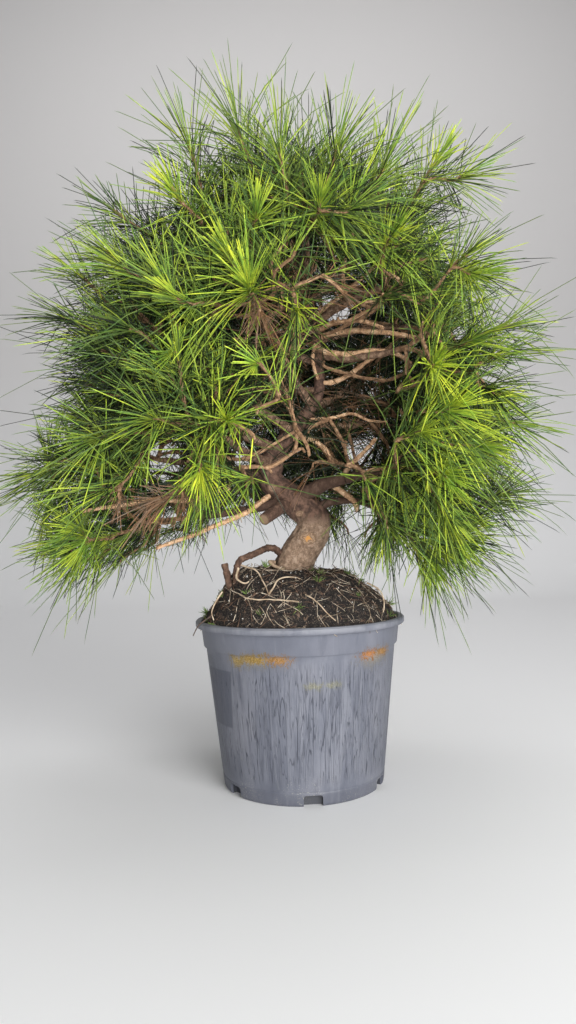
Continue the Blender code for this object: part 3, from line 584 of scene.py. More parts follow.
def soilPoint(share, turn):
    x = (1 - share) * (trunkFoot[0] + soil["seatRadius"] * math.cos(turn)) + share * soilEdge() * math.cos(turn)
    y = (1 - share) * (trunkFoot[1] + soil["seatRadius"] * math.sin(turn)) + share * soilEdge() * math.sin(turn)
    return np.array((x, y, soilHeight(share, turn)))


def crumbs(x, y, z, size=1.0):
    coarse = noise.fractal(Vector((x, y, z)) * 130, 1.0, 2.1, 3)
    fine = noise.noise(Vector((x, y, z)) * 420)
    return soil["crumb"] * size * (0.75 * coarse + 0.35 * fine)


def makeSoil():
    parts = MeshParts()
    turns = [2 * math.pi * k / soil["sides"] for k in range(soil["sides"])]
    deep = [(innerRadius(pot["floorLine"]) - 0.0008, pot["floorLine"] + 0.0005),
            (pot["wallTopRadius"] - 0.0024, pot["bandFootHeight"] - 0.001),
            (soilEdge() - 0.0030, pot["bandFootHeight"] + 0.004)]
    rings = [[np.array((r * math.cos(a), r * math.sin(a), z)) for a in turns] for r, z in deep]
    for ring in range(soil["rings"], -1, -1):
        share = ring / soil["rings"]
        row = []
        for a in turns:
            p = soilPoint(share, a)
            rough = crumbs(*p, size=0.35 if share > 0.97 else 1.0)
            row.append(p + np.array((0, 0, rough)))
        rings.append(row)
    centre = np.array((*trunkFoot, soil["seatHeight"]))
    for shrink in (0.66, 0.33, 0.02):
        rings.append([centre + (p - centre) * (shrink, shrink, 0.5) for p in rings[len(deep) + soil["rings"]]])
    parts.addRings(rings)
    obj = parts.toObject("soilMound")
    p = Paint("peat")
    clod = p.noise(210, 6, 0.68)
    speck = p.noise(900, 3, 0.6)
    color = p.ramp(clod, ((0.34, (0.004, 0.003, 0.003)), (0.52, (0.012, 0.009, 0.008)), (0.68, (0.055, 0.038, 0.028))))
    color = p.mix(p.step(speck, 0.60, 0.68) * 0.8, color, (0.34, 0.27, 0.21))
    obj.data.materials.append(p.finish(color, 0.95, p.bump(clod + speck * 0.4, 0.9, 0.002)))
    return settle(obj, "soil", "soil")


# Litter: count, smallest and largest size, spread of tilt, colours and template
litter = dict(
    straw=dict(count=330, sizes=(0.006, 0.030), tilt=0.20, tones=((0.24, 0.17, 0.11), (0.72, 0.62, 0.48))),
    rootlet=dict(count=420, sizes=(0.006, 0.024), tilt=0.28, tones=((0.035, 0.021, 0.015), (0.180, 0.102, 0.065))),
    chip=dict(count=560, sizes=(0.0022, 0.0066), tilt=0.7, tones=((0.014, 0.010, 0.008), (0.14, 0.090, 0.060))),
    speck=dict(count=110, sizes=(0.0008, 0.0018), tilt=3.0, tones=((0.60, 0.58, 0.54), (0.85, 0.84, 0.80))),
    moss=dict(count=18, sizes=(0.005, 0.012), tilt=0.35, tones=((0.06, 0.11, 0.025), (0.22, 0.32, 0.08))),
)


def litterShape(kind, variant):
    # a shape one unit long that lies along X, or stands on Z
    pick = np.random.default_rng(100 + variant)
    parts = MeshParts()
    if kind in ("straw", "rootlet"):
        bend = pick.uniform(-0.12, 0.12, (3, 2)) * (1 if kind == "straw" else 2)
        corners = [(-0.5, 0, -0.01), (-0.17, bend[0, 0], abs(bend[0, 1]) * 0.4), (0.17, bend[1, 0], abs(bend[1, 1]) * 0.4),
                   (0.5, bend[2, 0], 0.0)]
        thick = 0.014 if kind == "straw" else 0.017
        parts.addTube(curvePoints(corners, 8), np.linspace(thick, thick * 0.6, 8), 4)
    elif kind == "chip":
        width, tall = pick.uniform(0.22, 0.45), pick.uniform(0.10, 0.22)
        parts.addTube(np.array(((-0.5, 0, 0), (-0.2, 0.03, 0.02), (0.25, -0.04, 0), (0.5, 0, 0))),
                      np.array((0.35, 1.0, 0.9, 0.4)) * width / 2, 5)
        parts.points = [np.array(p) * (1, 1, tall / width) for p in parts.points]
    elif kind == "speck":
        parts.addTube(np.array(((-0.5, 0, 0), (-0.1, 0, 0.05), (0.5, 0, 0))), (0.15, 0.42, 0.2), 5)
    else:
        for k in range(9):
            way = direction(40 * k + pick.uniform(-12, 12), pick.uniform(25, 75))
            path = curvePoints(((0, 0, -0.2), way * 0.45, way * pick.uniform(0.7, 1.0)), 4)
            parts.addTube(path, (0.03, 0.045, 0.035, 0.008), 3)
    return parts.toObject("litterShape", smooth=False)


def scatterTree(name, template, material, tilt):
    g = Growth(name, Density=1000.0, Smallest=0.01, Largest=0.03, Seed=1)
    x, y, z = (Value(g.tree, socket) for socket in g.node(
        "ShaderNodeSeparateXYZ", sockets={"Vector": g.node("GeometryNodeInputPosition")}).socket.node.outputs)
    aside = ((x - trunkFoot[0]) * (x - trunkFoot[0]) + (y - trunkFoot[1]) * (y - trunkFoot[1])).root()
    onTop = (z > pot["height"] - 0.0018) * (aside > 0.021)
    spread = g.node("GeometryNodeDistributePointsOnFaces", sockets={
        "Mesh": g.get("Geometry"), "Selection": onTop, "Density": g.get("Density"), "Seed": g.get("Seed")})
    facing = Value(g.tree, spread.socket.node.outputs["Rotation"])
    spin = g.node("FunctionNodeRandomValue", {"data_type": "FLOAT_VECTOR"}, {
        "Min": (-tilt, -tilt, -3.14), "Max": (tilt, tilt, 3.14), "Seed": g.get("Seed") + 1}, "Value")
    turned = g.node("FunctionNodeRotateRotation", {"rotation_space": "LOCAL"}, {0: facing, 1: spin})
    size = g.node("FunctionNodeRandomValue", {"data_type": "FLOAT"}, {
        2: g.get("Smallest"), 3: g.get("Largest"), "Seed": g.get("Seed") + 2}, 1)
    g.stand(spread, template, turned, g.node("ShaderNodeCombineXYZ", sockets={0: size, 1: size, 2: size}), material)
    return g


def scatterLitter(mound):
    area = math.pi * soilEdge() ** 2
    for index, (kind, piece) in enumerate(litter.items()):
        p = Paint(kind + "Paint", 0.85)
        tone = p.noise(140, 3)
        material = p.finish(p.ramp(tone, ((0.38, piece["tones"][0]), (0.62, piece["tones"][1]))))
        for variant in range(3):
            template = litterShape(kind, 10 * index + variant)
            g = scatterTree(kind + "Spread", template, material, piece["tilt"])
            obj = bpy.data.objects.new(f"{kind}{variant + 1}", mound.data.copy())
            scene.collection.objects.link(obj)
            g.apply(obj, Density=piece["count"] / 3 / area, Smallest=piece["sizes"][0], Largest=piece["sizes"][1],
                    Seed=20 * index + 3 * variant + 5)
            bpy.data.objects.remove(template)
            obj.data.materials.clear()
            obj.data.materials.append(material)
            settle(obj, "soil", "soil")


# Loose roots on the mound: corners, foot radius and tone. The first hangs over the rim.
strands = (
    (((-0.090, -0.050, 0.184), (-0.0985, -0.054, 0.1775), (-0.1035, -0.058, 0.1740), (-0.1085, -0.062, 0.1640)), 0.0009, 0),
    (((-0.060, -0.036, 0.2330), (-0.0451, -0.048, 0.2285), (-0.0377, -0.060, 0.2195), (-0.0304, -0.080, 0.2050)), 0.0009, 1),
    (((-0.0628, -0.036, 0.2300), (-0.0640, -0.046, 0.2190), (-0.0540, -0.050, 0.2150), (-0.0480, -0.047, 0.2200)), 0.0013, 1),
    (((-0.0600, -0.066, 0.2050), (-0.0500, -0.083, 0.2020), (-0.0270, -0.093, 0.2010), (-0.0010, -0.095, 0.1990)), 0.0008, 1),
    (((-0.0300, -0.080, 0.2060), (-0.0170, -0.062, 0.2205), (-0.0030, -0.057, 0.2200), (0.0110, -0.066, 0.2130)), 0.0009, 1),
    (((-0.0030, -0.076, 0.2080), (0.0100, -0.084, 0.2020), (0.0230, -0.096, 0.1900), (0.0330, -0.1000, 0.1800)), 0.0008, 1),
    (((-0.0800, -0.040, 0.2060), (-0.0860, -0.050, 0.1970), (-0.0900, -0.053, 0.1870), (-0.0880, -0.055, 0.1790)), 0.0009, 1),
    (((0.0700, -0.048, 0.2120), (0.0800, -0.052, 0.2060), (0.0850, -0.060, 0.1950), (0.0830, -0.066, 0.1830)), 0.0009, 1),
    (((-0.0260, -0.012, 0.2340), (-0.0300, -0.020, 0.2350), (-0.0240, -0.026, 0.2300), (-0.0150, -0.028, 0.2270)), 0.0026, 2),
)


def makeStrands():
    tones = (((0.05, 0.035, 0.028), (0.12, 0.08, 0.06)), ((0.34, 0.24, 0.15), (0.72, 0.58, 0.42)),
             ((0.26, 0.17, 0.11), (0.50, 0.36, 0.24)))
    for number, (dark, pale) in enumerate(tones):
        parts = MeshParts()
        for corners, radius, tone in strands:
            if tone == number:
                path = throughPoints(corners, 30)
                for i in range(len(path)):
                    path[i] += np.array(noise.noise_vector(Vector(path[i] * 90))) * 0.0009
                parts.addTube(path, np.linspace(radius, radius * 0.55, 30), 8)
        obj = parts.toObject(f"looseRoots{number + 1}")
        p = Paint(f"looseRoot{number + 1}", 0.85)
        obj.data.materials.append(p.finish(p.ramp(p.noise(110, 3), ((0.38, dark), (0.62, pale)))))
        settle(obj, "soil", "soil")


mound = makeSoil()
scatterLitter(mound)
makeStrands()
print("soil done")


# Trunk: turning points as height, x, y, radius

trunk = dict(
    turns=((0.2243, -0.0050, 0.000, 0.0200), (0.276, 0.018, -0.001, 0.0188), (0.331, -0.029, 0.010, 0.0140),
           (0.428, 0.029, -0.002, 0.0060), (0.480, 0.0265, 0.000, 0.0056), (0.600, 0.004, 0.001, 0.0036)),
    sides=84,
    ringStep=0.0015,
    lookAhead=0.017,
    flareOut=0.0050,
    flareHeight=0.011,
    flareLobes=5,
    collarSwell=0.13,
    collarSpread=0.010,
    collars=(0.300, 0.342, 0.390, 0.452, 0.500),
)
# scars and knobs on the trunk: height, azimuth, radius, rise of the rim, rise of the middle
scars = (
    (0.2590, -92, 0.0080, 0.0012, 0.0006),
    (0.2860, -128, 0.0042, 0.0008, -0.0004),
    (0.3150, -118, 0.0046, 0.0010, 0.0002),
    (0.2570, -4, 0.0058, 0.0004, 0.0022),
    (0.2470, -150, 0.0050, 0.0006, 0.0014),
    (0.2700, -30, 0.0042, 0.0006, 0.0010),
    (0.2650, 95, 0.0060, 0.0010, -0.0008),
)


def trunkAt(height):
    for low, high in zip(trunk["turns"], trunk["turns"][1:]):
        if height <= high[0] or high is trunk["turns"][-1]:
            t = min(max((height - low[0]) / (high[0] - low[0]), 0.0), 1.0)
            sway = t * t * (3 - 2 * t)
            x = low[1] + (high[1] - low[1]) * sway
            y = low[2] + (high[2] - low[2]) * sway
            return np.array((x, y, height)), low[3] + (high[3] - low[3]) * t * (2 - t)


def scarCentre(height, azimuth):
    centre, radius = trunkAt(height)
    return centre + direction(azimuth, 0) * radius


def scarRelief(p):
    rise = 0.0
    for height, azimuth, size, rim, middle in scars:
        away = np.linalg.norm(p - scarCentre(height, azimuth)) / size
        if away < 2.5:
            rise += rim * math.exp(-(((away - 1) / 0.32) ** 2)) + middle * math.exp(-((away / 0.62) ** 2))
    return rise


def barkRelief(p, radius, depth=1.0):
    # plates and fissures that run along the limb, finer on thin limbs
    q = Vector(p)
    plates = noise.fractal(Vector((q.x * 210, q.y * 210, q.z * 120)), 0.9, 2.0, 4)
    crack = abs(noise.noise(Vector((q.x * 150, q.y * 150, q.z * 60))))
    return radius + depth * radius * (0.050 * plates - 0.08 * max(0.0, 0.10 - crack) * 6)


def makeTrunk():
    bottom, top = trunk["turns"][0][0], trunk["turns"][-1][0]
    count = round((top - bottom) / trunk["ringStep"])
    rings, side = [], np.array((1.0, 0.0, 0.0))
    for i in range(count + 1):
        height = bottom + (top - bottom) * i / count
        centre, radius = trunkAt(height)
        tangent = trunkAt(height + trunk["lookAhead"])[0] - trunkAt(height - trunk["lookAhead"])[0]
        tangent = unit(tangent) if 0 < i < count else np.array((0.0, 0.0, 1.0))
        side = unit(side - tangent * np.dot(side, tangent))
        other = np.cross(tangent, side)
        swell = 1 + trunk["collarSwell"] * sum(
            math.exp(-(((height - at) / trunk["collarSpread"]) ** 2)) for at in trunk["collars"])
        flare = trunk["flareOut"] * math.exp(-(height - bottom) / trunk["flareHeight"])
        ring = []
        for k in range(trunk["sides"]):
            a = 2 * math.pi * k / trunk["sides"]
            lobe = 0.55 + 0.45 * math.sin(trunk["flareLobes"] * a + 0.6)
            out = math.cos(a) * side + math.sin(a) * other
            reach = radius * swell + flare * lobe
            p = centre + out * reach
            ring.append(centre + (barkRelief(p, reach) + scarRelief(p)) * out)
        rings.append(ring)
    parts = MeshParts()
    parts.addRings(rings)
    obj = parts.toObject("trunkBark")
    obj.data.materials.append(trunkPaint())
    return settle(obj, "bark", "trunk")


def barkPaint(name, dark, middle, pale):
    p = Paint(name)
    plates = p.noise(190, 6, 0.64, (1, 1, 0.8))
    speck = p.noise(620, 4, 0.6)
    color = p.ramp(plates, ((0.30, dark), (0.50, middle), (0.68, pale)))
    color = p.mix(p.step(speck, 0.58, 0.70) * 0.5, color, tuple(min(1, c * 1.3) for c in pale))
    color = p.mix(p.step(speck, 0.44, 0.34) * 0.6, color, tuple(c * 0.6 for c in dark))
    return p, color, plates, speck


def trunkPaint():
    p, color, plates, speck = barkPaint("trunkBark", (0.105, 0.065, 0.043), (0.275, 0.182, 0.120),
                                        (0.450, 0.328, 0.238))
    height = p.axes()[2]
    # above the lowest boughs the bark is painted darker and redder: partly the bark's own redder tone, partly painted
    # shade under the crown
    redderShadedUpper = p.step(height + plates * 0.03, 0.286, 0.302)
    upper = p.mix(p.step(plates, 0.38, 0.62), (0.036, 0.017, 0.012), (0.150, 0.080, 0.054))
    color = p.mix(redderShadedUpper * 0.9, color, upper)
    for k, (at, azimuth, size, rim, middle) in enumerate(scars[:3]):
        # a callus with dark cracks round it, and fresh wood in the first
        flat = (1.0, 1.0, 1.35)
        centre = tuple(c * k for c, k in zip(scarCentre(at, azimuth), flat))
        away = p.vector("DISTANCE", p.place(flat), centre) / size + (p.noise(230, 3) - 0.5) * 1.7
        color = p.mix(p.step(away, 1.30, 1.05) * 0.6, color, (0.44, 0.30, 0.19))
        color = p.mix((p.step(away, 1.30, 1.12) - p.step(away, 1.05, 0.90)) * 0.7, color, (0.13, 0.070, 0.040))
        color = p.mix((p.step(away, 0.72, 0.60) - p.step(away, 0.52, 0.44)) * 0.7, color, (0.16, 0.080, 0.040))
        if k == 0:
            color = p.mix(p.step(away, 0.50, 0.22) * 0.95, color, (0.62, 0.29, 0.07))
    return p.finish(color, 0.88, p.bump(plates + speck * 0.4, 0.6, 0.0012))


# Crown and masses: azimuth, elevation, and the trunk height, foot radius and arch of the bough behind each

heart = np.array((-0.005, 0.0, 0.460))
crown = dict(
    reachStep=30.0,
    reachLowest=-60.0,
    rightReach=(0.338, 0.345, 0.320, 0.325, 0.340, 0.333),
    leftReach=(0.425, 0.368, 0.320, 0.313, 0.315, 0.333),
    depth=0.86,
    seedDepth=0.66,
    # lower edge of the foliage every 45 degrees, and how it rises towards the trunk
    skirt=(0.165, 0.200, 0.255, 0.205, 0.098, 0.220, 0.280, 0.185),
    skirtInner=0.310,
    skirtRadii=(0.14, 0.23),
    # openings in front of the leader and the trunk: x, z, half width and half height at the front and behind
    openings=(((0.036, 0.352, 0.034, 0.054), (0.060, 0.412, 0.050, 0.078)),
              ((0.008, 0.262, 0.034, 0.050), (0.012, 0.285, 0.046, 0.060)),
              ((0.042, 0.388, 0.040, 0.022), (0.078, 0.462, 0.060, 0.034)),
              ((-0.016, 0.326, 0.018, 0.023), (-0.019, 0.362, 0.029, 0.036))),
    openingDepth=(-0.30, -0.02),
    openingShare=0.94,
    # small gaps right through the crown, with a few needles across them: place and half size in the photo
    windows=(
        dict(u=165, v=458, wide=15, tall=22),
        dict(u=240, v=452, wide=11, tall=16),
        dict(u=334, v=308, wide=15, tall=12),
        dict(u=491, v=372, wide=14, tall=8),
        dict(u=360, v=450, wide=12, tall=12),
        dict(u=456, v=333, wide=6, tall=7),
        dict(u=35, v=465, wide=7, tall=6),
        dict(u=184, v=606, wide=92, tall=59),
        dict(u=360, v=520, wide=16, tall=18),
        dict(u=250, v=530, wide=42, tall=22),
        dict(u=405, v=566, wide=14, tall=14),
        dict(u=172, v=516, wide=12, tall=9),
        dict(u=18, v=438, wide=16, tall=16),
        dict(u=12, v=522, wide=20, tall=18),
    ),
    windowDepth=(-0.32, 0.32),
    windowShare=0.90,
    # hollows in the front of the crown, where brown twigs show: place and half size in the photo
    hollows=(
        dict(u=309, v=254, wide=25, tall=25),
        dict(u=346, v=284, wide=47, tall=20),
        dict(u=398, v=322, wide=34, tall=24),
        dict(u=258, v=320, wide=34, tall=18),
        dict(u=150, v=322, wide=16, tall=10),
        dict(u=140, v=508, wide=50, tall=20),
        dict(u=272, v=382, wide=11, tall=24),
    ),
    hollowDepth=(-0.32, -0.03),
    hollowShare=0.80,
    # how much further in the shoots end, every 45 degrees round the outline seen from the front, from +X upwards
    inset=(0.045, 0.062, 0.050, 0.050, 0.032, 0.026, 0.012, 0.026),
    # it fades towards the back
    insetEnd=0.50,
    insetLeast=0.15,
)
masses = {
    "left_hanging": (-173, -45, 0.302, 0.0060, -0.004),
    "left_low": (-178, -24, 0.326, 0.0066, 0.004),
    "front_low_left": (-117, -26, 0.343, 0.0058, -0.006),
    "front_low_right": (-37, -34, 0.302, 0.0094, 0.012),
    "right_hanging": (-5, -50, 0.289, 0.0050, 0.022),
    "right_low": (14, -20, 0.384, 0.0044, 0.002),
    "back_low_right": (60, -33, 0.296, 0.0064, 0.012),
    "back_low_left": (121, -33, 0.321, 0.0062, 0.012),
    "left_middle": (-174, 1, 0.358, 0.0060, -0.008),
    "front_left": (-140, 5, 0.378, 0.0054, -0.008),
    "front_star": (-106, 12, 0.404, 0.0046, -0.006),
    "front_right_low": (-37, -7, 0.462, 0.0052, -0.012),
    "front_right": (-44, 16, 0.494, 0.0044, 0.010),
    "right_middle": (0, 10, 0.476, 0.0050, 0.012),
    "back_right": (47, 6, 0.402, 0.0052, -0.006),
    "back_middle": (92, 5, 0.366, 0.0058, -0.010),
    "back_left": (141, 1, 0.420, 0.0048, -0.004),
    "left_upper": (172, 27, 0.452, 0.0046, -0.006),
    "front_upper_left": (-136, 37, 0.486, 0.0044, -0.006),
    "front_top": (-82, 41, 0.535, 0.0036, -0.004),
    "front_top_right": (-28, 42, 0.519, 0.0038, -0.004),
    "right_upper": (20, 39, 0.503, 0.0042, -0.006),
    "back_upper": (76, 42, 0.484, 0.0046, -0.006),
    "back_upper_left": (129, 42, 0.522, 0.0038, -0.004),
    "top_left": (168, 66, 0.556, 0.0034, -0.004),
    "top": (10, 84, None, None, None),
}
boughs = dict(share=0.60, footOut=0.3, tipRadius=0.0030, sides=18, rings=60)


def tableAt(values, elevation):
    values = np.array(values)
    place = np.clip((elevation - crown["reachLowest"]) / crown["reachStep"], 0.0, len(values) - 1.0)
    k = np.minimum(place.astype(int), len(values) - 2)
    t = place - k
    before, low = values[np.maximum(k - 1, 0)], values[k]
    high, after = values[k + 1], values[np.minimum(k + 2, len(values) - 1)]
    bend = 2 * before - 5 * low + 4 * high - after
    return low + 0.5 * t * (high - before + t * (bend + t * (3 * (low - high) + after - before)))


def crownReach(toward):
    elevation = np.degrees(np.arcsin(np.clip(toward[..., 2], -1, 1)))
    level = np.hypot(toward[..., 0], toward[..., 1])
    rightward = (1 + toward[..., 0] / np.maximum(level, 1e-6)) / 2
    reach = tableAt(crown["rightReach"], elevation) * rightward + tableAt(crown["leftReach"], elevation) * (1 - rightward)
    return reach * (1 - (1 - crown["depth"]) * toward[..., 1] ** 2)


def skirtHeight(points):
    x, y = points[..., 0] - heart[0], points[..., 1] - heart[1]
    skirt = np.array(crown["skirt"])
    place = (np.arctan2(y, x) % (2 * math.pi)) / (2 * math.pi / len(skirt))
    k = place.astype(int) % len(skirt)
    t = place - np.floor(place)
    low, high = skirt[k], skirt[(k + 1) % len(skirt)]
    edge = low + (high - low) * t * t * (3 - 2 * t)
    away = np.hypot(x, y)
    leftward = (1 - x / np.maximum(away, 1e-6)) / 2
    right, left = crown["skirtRadii"]
    outward = np.minimum(away / (right + (left - right) * leftward), 1.0)
    return crown["skirtInner"] + (edge - crown["skirtInner"]) * outward**2


def inset(toward):
    place = (math.atan2(toward[2], toward[0]) / (math.pi / 4)) % 8
    k, t = int(place), place % 1
    away = min(max(1 - toward[1] / crown["insetEnd"], crown["insetLeast"]), 1)
    return ((crown["inset"][k] * (1 - t) + crown["inset"][(k + 1) % 8] * t) * math.hypot(toward[0], toward[2])) * away


def inGaps(points, gaps, depth):
    t = (points[..., 1] - depth[0]) / (depth[1] - depth[0])
    inside = np.zeros(points.shape[:-1], bool)
    for near, far in gaps:
        x, z, wide, tall = (a + (b - a) * t for a, b in zip(near, far))
        inside |= ((points[..., 0] - x) / wide) ** 2 + ((points[..., 2] - z) / tall) ** 2 < 1
    return inside & (t > 0) & (t < 1)


def inOpening(points):
    return inGaps(points, crown["openings"], crown["openingDepth"])


def photoGap(depth, u, v, wide, tall):
    ends = []
    for y in depth:
        x, _, z = sightLine(u, v, y)
        share = (y - camera["place"][1]) / camera["focalPixels"]
        ends.append((x, z, wide * share, tall * share))
    return ends


windowGaps = [photoGap(crown["windowDepth"], **window) for window in crown["windows"]]
hollowGaps = [photoGap(crown["hollowDepth"], **hollow) for hollow in crown["hollows"]]


def inWindow(points):
    return inGaps(points, windowGaps, crown["windowDepth"])


def inHollow(points):
    return inGaps(points, hollowGaps, crown["hollowDepth"])


def massSeed(name):
    toward = direction(*masses[name][:2])
    return heart + toward * crownReach(toward) * crown["seedDepth"]


def addLimb(parts, path, radii, sides, knobs=0.10, wander=0.0022, relief=1.3, scales=0.0):
    # a limb with knots, that wanders a little between its ends; scales alternate from ring to ring and side to side
    path = np.array(path)
    last = len(path) - 1
    for i in range(1, last):
        path[i] += np.array(noise.noise_vector(Vector(path[i] * 38))) * wander * math.sin(math.pi * i / last)
    shift = float(path[0][0] + path[-1][2]) * 90
    step = np.linalg.norm(path[1] - path[0]) / 0.0042
    radii = [r * (1 + knobs * noise.noise(Vector((i * step, shift, 0)))) for i, r in enumerate(radii)]
    parts.addTube(path, radii, sides, lambda q, r, turn: barkRelief(q, r, relief) * (1 + scales * (-1) ** turn))
    return path


def makeBoughs():
    parts, stems = MeshParts(), {}
    for name, (_, _, height, footRadius, arch) in masses.items():
        if height is None:
            last = trunk["turns"][-1]
            stems[name] = (np.array((last[1], last[2], last[0] - 0.002)), np.array((0.0, 0.0, 1.0)))
            continue
        axis, radius = trunkAt(height)
        start = axis + unit(massSeed(name) - axis) * radius * boughs["footOut"]
        end = start + (massSeed(name) - start) * boughs["share"]
        path = curvePoints((start, (start + end) / 2 + np.array((0, 0, arch)), end), boughs["rings"])
        path = addLimb(parts, path, np.linspace(footRadius, boughs["tipRadius"], len(path)), boughs["sides"])
        stems[name] = (path[-1], unit(path[-1] - path[-4]))
    obj = parts.toObject("boughBark")
    p, color, plates, speck = barkPaint("boughBark", (0.060, 0.033, 0.021), (0.195, 0.115, 0.072),
                                        (0.460, 0.310, 0.205))
    # below 0.335 m the boughs are painted darker: partly their own bark tone, partly painted shade under the crown
    color = p.mix(p.step(p.axes()[2], 0.345, 0.325) * 0.8, color, (0.060, 0.031, 0.021))
    obj.data.materials.append(p.finish(color, 0.88, p.bump(plates + speck * 0.4, 0.6, 0.0010)))
    settle(obj, "bark", *[n for n in nodeNames if n.startswith("bough_")])
    return stems


# Bare limbs in the opening beside the leader: corners of a curve, radii at foot and tip.
# The first two are solids of their own, the rest are finer growth of the boughs.
deadLimbs = (
    (((-0.009, 0.004, 0.369), (0.028, -0.006, 0.376), (0.041, -0.012, 0.338)), 0.0030, 0.0022),
    (((0.029, -0.002, 0.430), (0.056, -0.012, 0.422), (0.070, -0.016, 0.446), (0.092, -0.020, 0.454)), 0.0028, 0.0021),
)
thinLimbs = (
    (((0.026, 0.000, 0.487), (0.045, -0.020, 0.490), (0.063, -0.040, 0.486), (0.077, -0.055, 0.480),
      (0.092, -0.067, 0.470)), 0.0029, 0.0020),
    (((0.027, 0.000, 0.480), (0.055, -0.020, 0.480), (0.087, -0.045, 0.473), (0.114, -0.060, 0.464),
      (0.132, -0.070, 0.458), (0.142, -0.077, 0.464)), 0.0034, 0.0021),
    (((0.026, 0.000, 0.474), (0.034, -0.012, 0.462), (0.056, -0.030, 0.454), (0.086, -0.050, 0.451),
      (0.109, -0.062, 0.443), (0.118, -0.070, 0.432)), 0.0038, 0.0018),
    (((0.026, -0.002, 0.476), (0.022, -0.012, 0.451), (0.024, -0.016, 0.439), (0.027, -0.018, 0.430)), 0.0022, 0.0016),
    (((0.008, 0.004, 0.390), (0.042, -0.012, 0.389), (0.059, -0.020, 0.392), (0.080, -0.035, 0.381),
      (0.096, -0.046, 0.378)), 0.0021, 0.0012),
    (((0.006, 0.008, 0.388), (0.029, 0.020, 0.383), (0.040, 0.030, 0.375), (0.050, 0.036, 0.358)), 0.0026, 0.0015),
    (((0.057, -0.052, 0.548), (0.054, -0.055, 0.531), (0.056, -0.045, 0.515)), 0.0016, 0.0022),
    (((0.020, 0.000, 0.500), (0.050, -0.035, 0.513), (0.078, -0.075, 0.525), (0.097, -0.112, 0.538)), 0.0024, 0.0016),
    (((0.012, 0.000, 0.538), (0.002, -0.040, 0.548), (0.001, -0.060, 0.566)), 0.0022, 0.0014),
    (((0.052, -0.024, 0.328), (0.060, -0.034, 0.337), (0.069, -0.040, 0.345), (0.083, -0.050, 0.360)), 0.0028, 0.0020),
    (((0.036, -0.010, 0.318), (0.051, -0.020, 0.307), (0.061, -0.028, 0.296), (0.064, -0.032, 0.286)), 0.0034, 0.0026),
    (((-0.030, -0.006, 0.306), (-0.050, -0.034, 0.290), (-0.078, -0.064, 0.276), (-0.107, -0.090, 0.264),
      (-0.136, -0.102, 0.254)), 0.0030, 0.0017),
    (((-0.068, -0.050, 0.314), (-0.112, -0.090, 0.299), (-0.134, -0.120, 0.299), (-0.160, -0.130, 0.295),
      (-0.198, -0.130, 0.290)), 0.0028, 0.0016),
)


def makeThinLimbs():
    bare = []
    p, color, plates, speck = barkPaint("limbBark", (0.300, 0.155, 0.075), (0.680, 0.410, 0.230),
                                        (0.880, 0.640, 0.410))
    material = p.finish(color, 0.85, p.bump(plates + speck * 0.4, 0.6, 0.0010))
    for name, limbs, line in (("deadLimbBark", deadLimbs, curvePoints), ("thinLimbBark", thinLimbs, throughPoints)):
        parts = MeshParts()
        for corners, foot, tip in limbs:
            path = addLimb(parts, line(corners, 64), np.linspace(foot, tip, 64), 12, knobs=0.26, wander=0.0012,
                           relief=1.2, scales=0.09)
            bare.append((path, tip))
        obj = parts.toObject(name)
        obj.data.materials.append(material)
        starts = ("dead_limb_",) if limbs is deadLimbs else ("bough_",)
        settle(obj, "bark", *[n for n in nodeNames if n.startswith(starts)])
    return bare


def makeStubAndRoots():
    parts = MeshParts()
    stub = curvePoints((trunkAt(0.303)[0], (-0.0345, -0.0405, 0.2800)), 22)
    parts.addTube(stub, np.linspace(0.0078, 0.0062, 22), 28, lambda q, r, a: barkRelief(q, r, 1.0))
    arch = curvePoints(((-0.0150, -0.004, 0.2345), (-0.0264, -0.012, 0.2627), (-0.0382, -0.024, 0.2461),
                        (-0.0602, -0.031, 0.2390)), 30)
    drop = curvePoints((arch[-1], (-0.0668, -0.033, 0.2372), (-0.0655, -0.033, 0.2040)), 24)
    addLimb(parts, np.vstack((arch, drop[1:])), np.linspace(0.0038, 0.0034, 53), 20, knobs=0.3, relief=1.8)
    snag = curvePoints(((-0.0715, -0.028, 0.2040), (-0.0782, -0.028, 0.2350)), 18)
    addLimb(parts, snag, np.linspace(0.0036, 0.0036, 18), 20, knobs=0.3, wander=0.0, relief=1.8)
    obj = parts.toObject("rootBark")
    p, color, plates, speck = barkPaint("rootBark", (0.032, 0.016, 0.011), (0.090, 0.048, 0.031),
                                        (0.210, 0.125, 0.083))
    cutFace = p.near((-0.0345, -0.0405, 0.2800), 0.0050, 0.3)
    color = p.mix(cutFace * 0.7, color, (0.36, 0.24, 0.15))
    obj.data.materials.append(p.finish(color, 0.9, p.bump(plates + speck * 0.4, 0.6, 0.0012)))
    settle(obj, "bark", "cut_stub", "root_arch", "root_drop", "root_snag")


makeTrunk()
stems = makeBoughs()
barePaths = makeThinLimbs()
makeStubAndRoots()
print("trunk, boughs and roots done")


# Twigs, shoots and needles

foliage = dict(
    directions=3600,
    tipDepth=0.070,
    pull=0.07,
    footRadius=0.0023,
    tipRadius=0.0013,
    twigSteps=7,
    stemSteps=10,
    twigSides=5,
    needleLength=0.058,
    needleSpread=0.011,
    needleThickness=(0.00057, 0.00054, 0.00048, 0.00044, 0.00044, 0.00042),
    tintSteps=(-1, 0, 0, 0, 0, 1, 1, 2),
    strayShare=0.10,
    strayLength=1.55,
    leanFoot=68.0,
    leanTip=22.0,
    leanSpread=0.30,
    youngShare=0.45,
    youngLength=0.52,
    youngLean=(38.0, 6.0),
    droop=0.42,
    sightSpan=(-0.32, 0.16),
    aboveSkirt=0.022,
    belowSkirt=0.018,
    frontNeedles=98,
    frontLength=0.060,
    stubbleLength=0.0060,
    stubbleSpacing=0.0011,
)
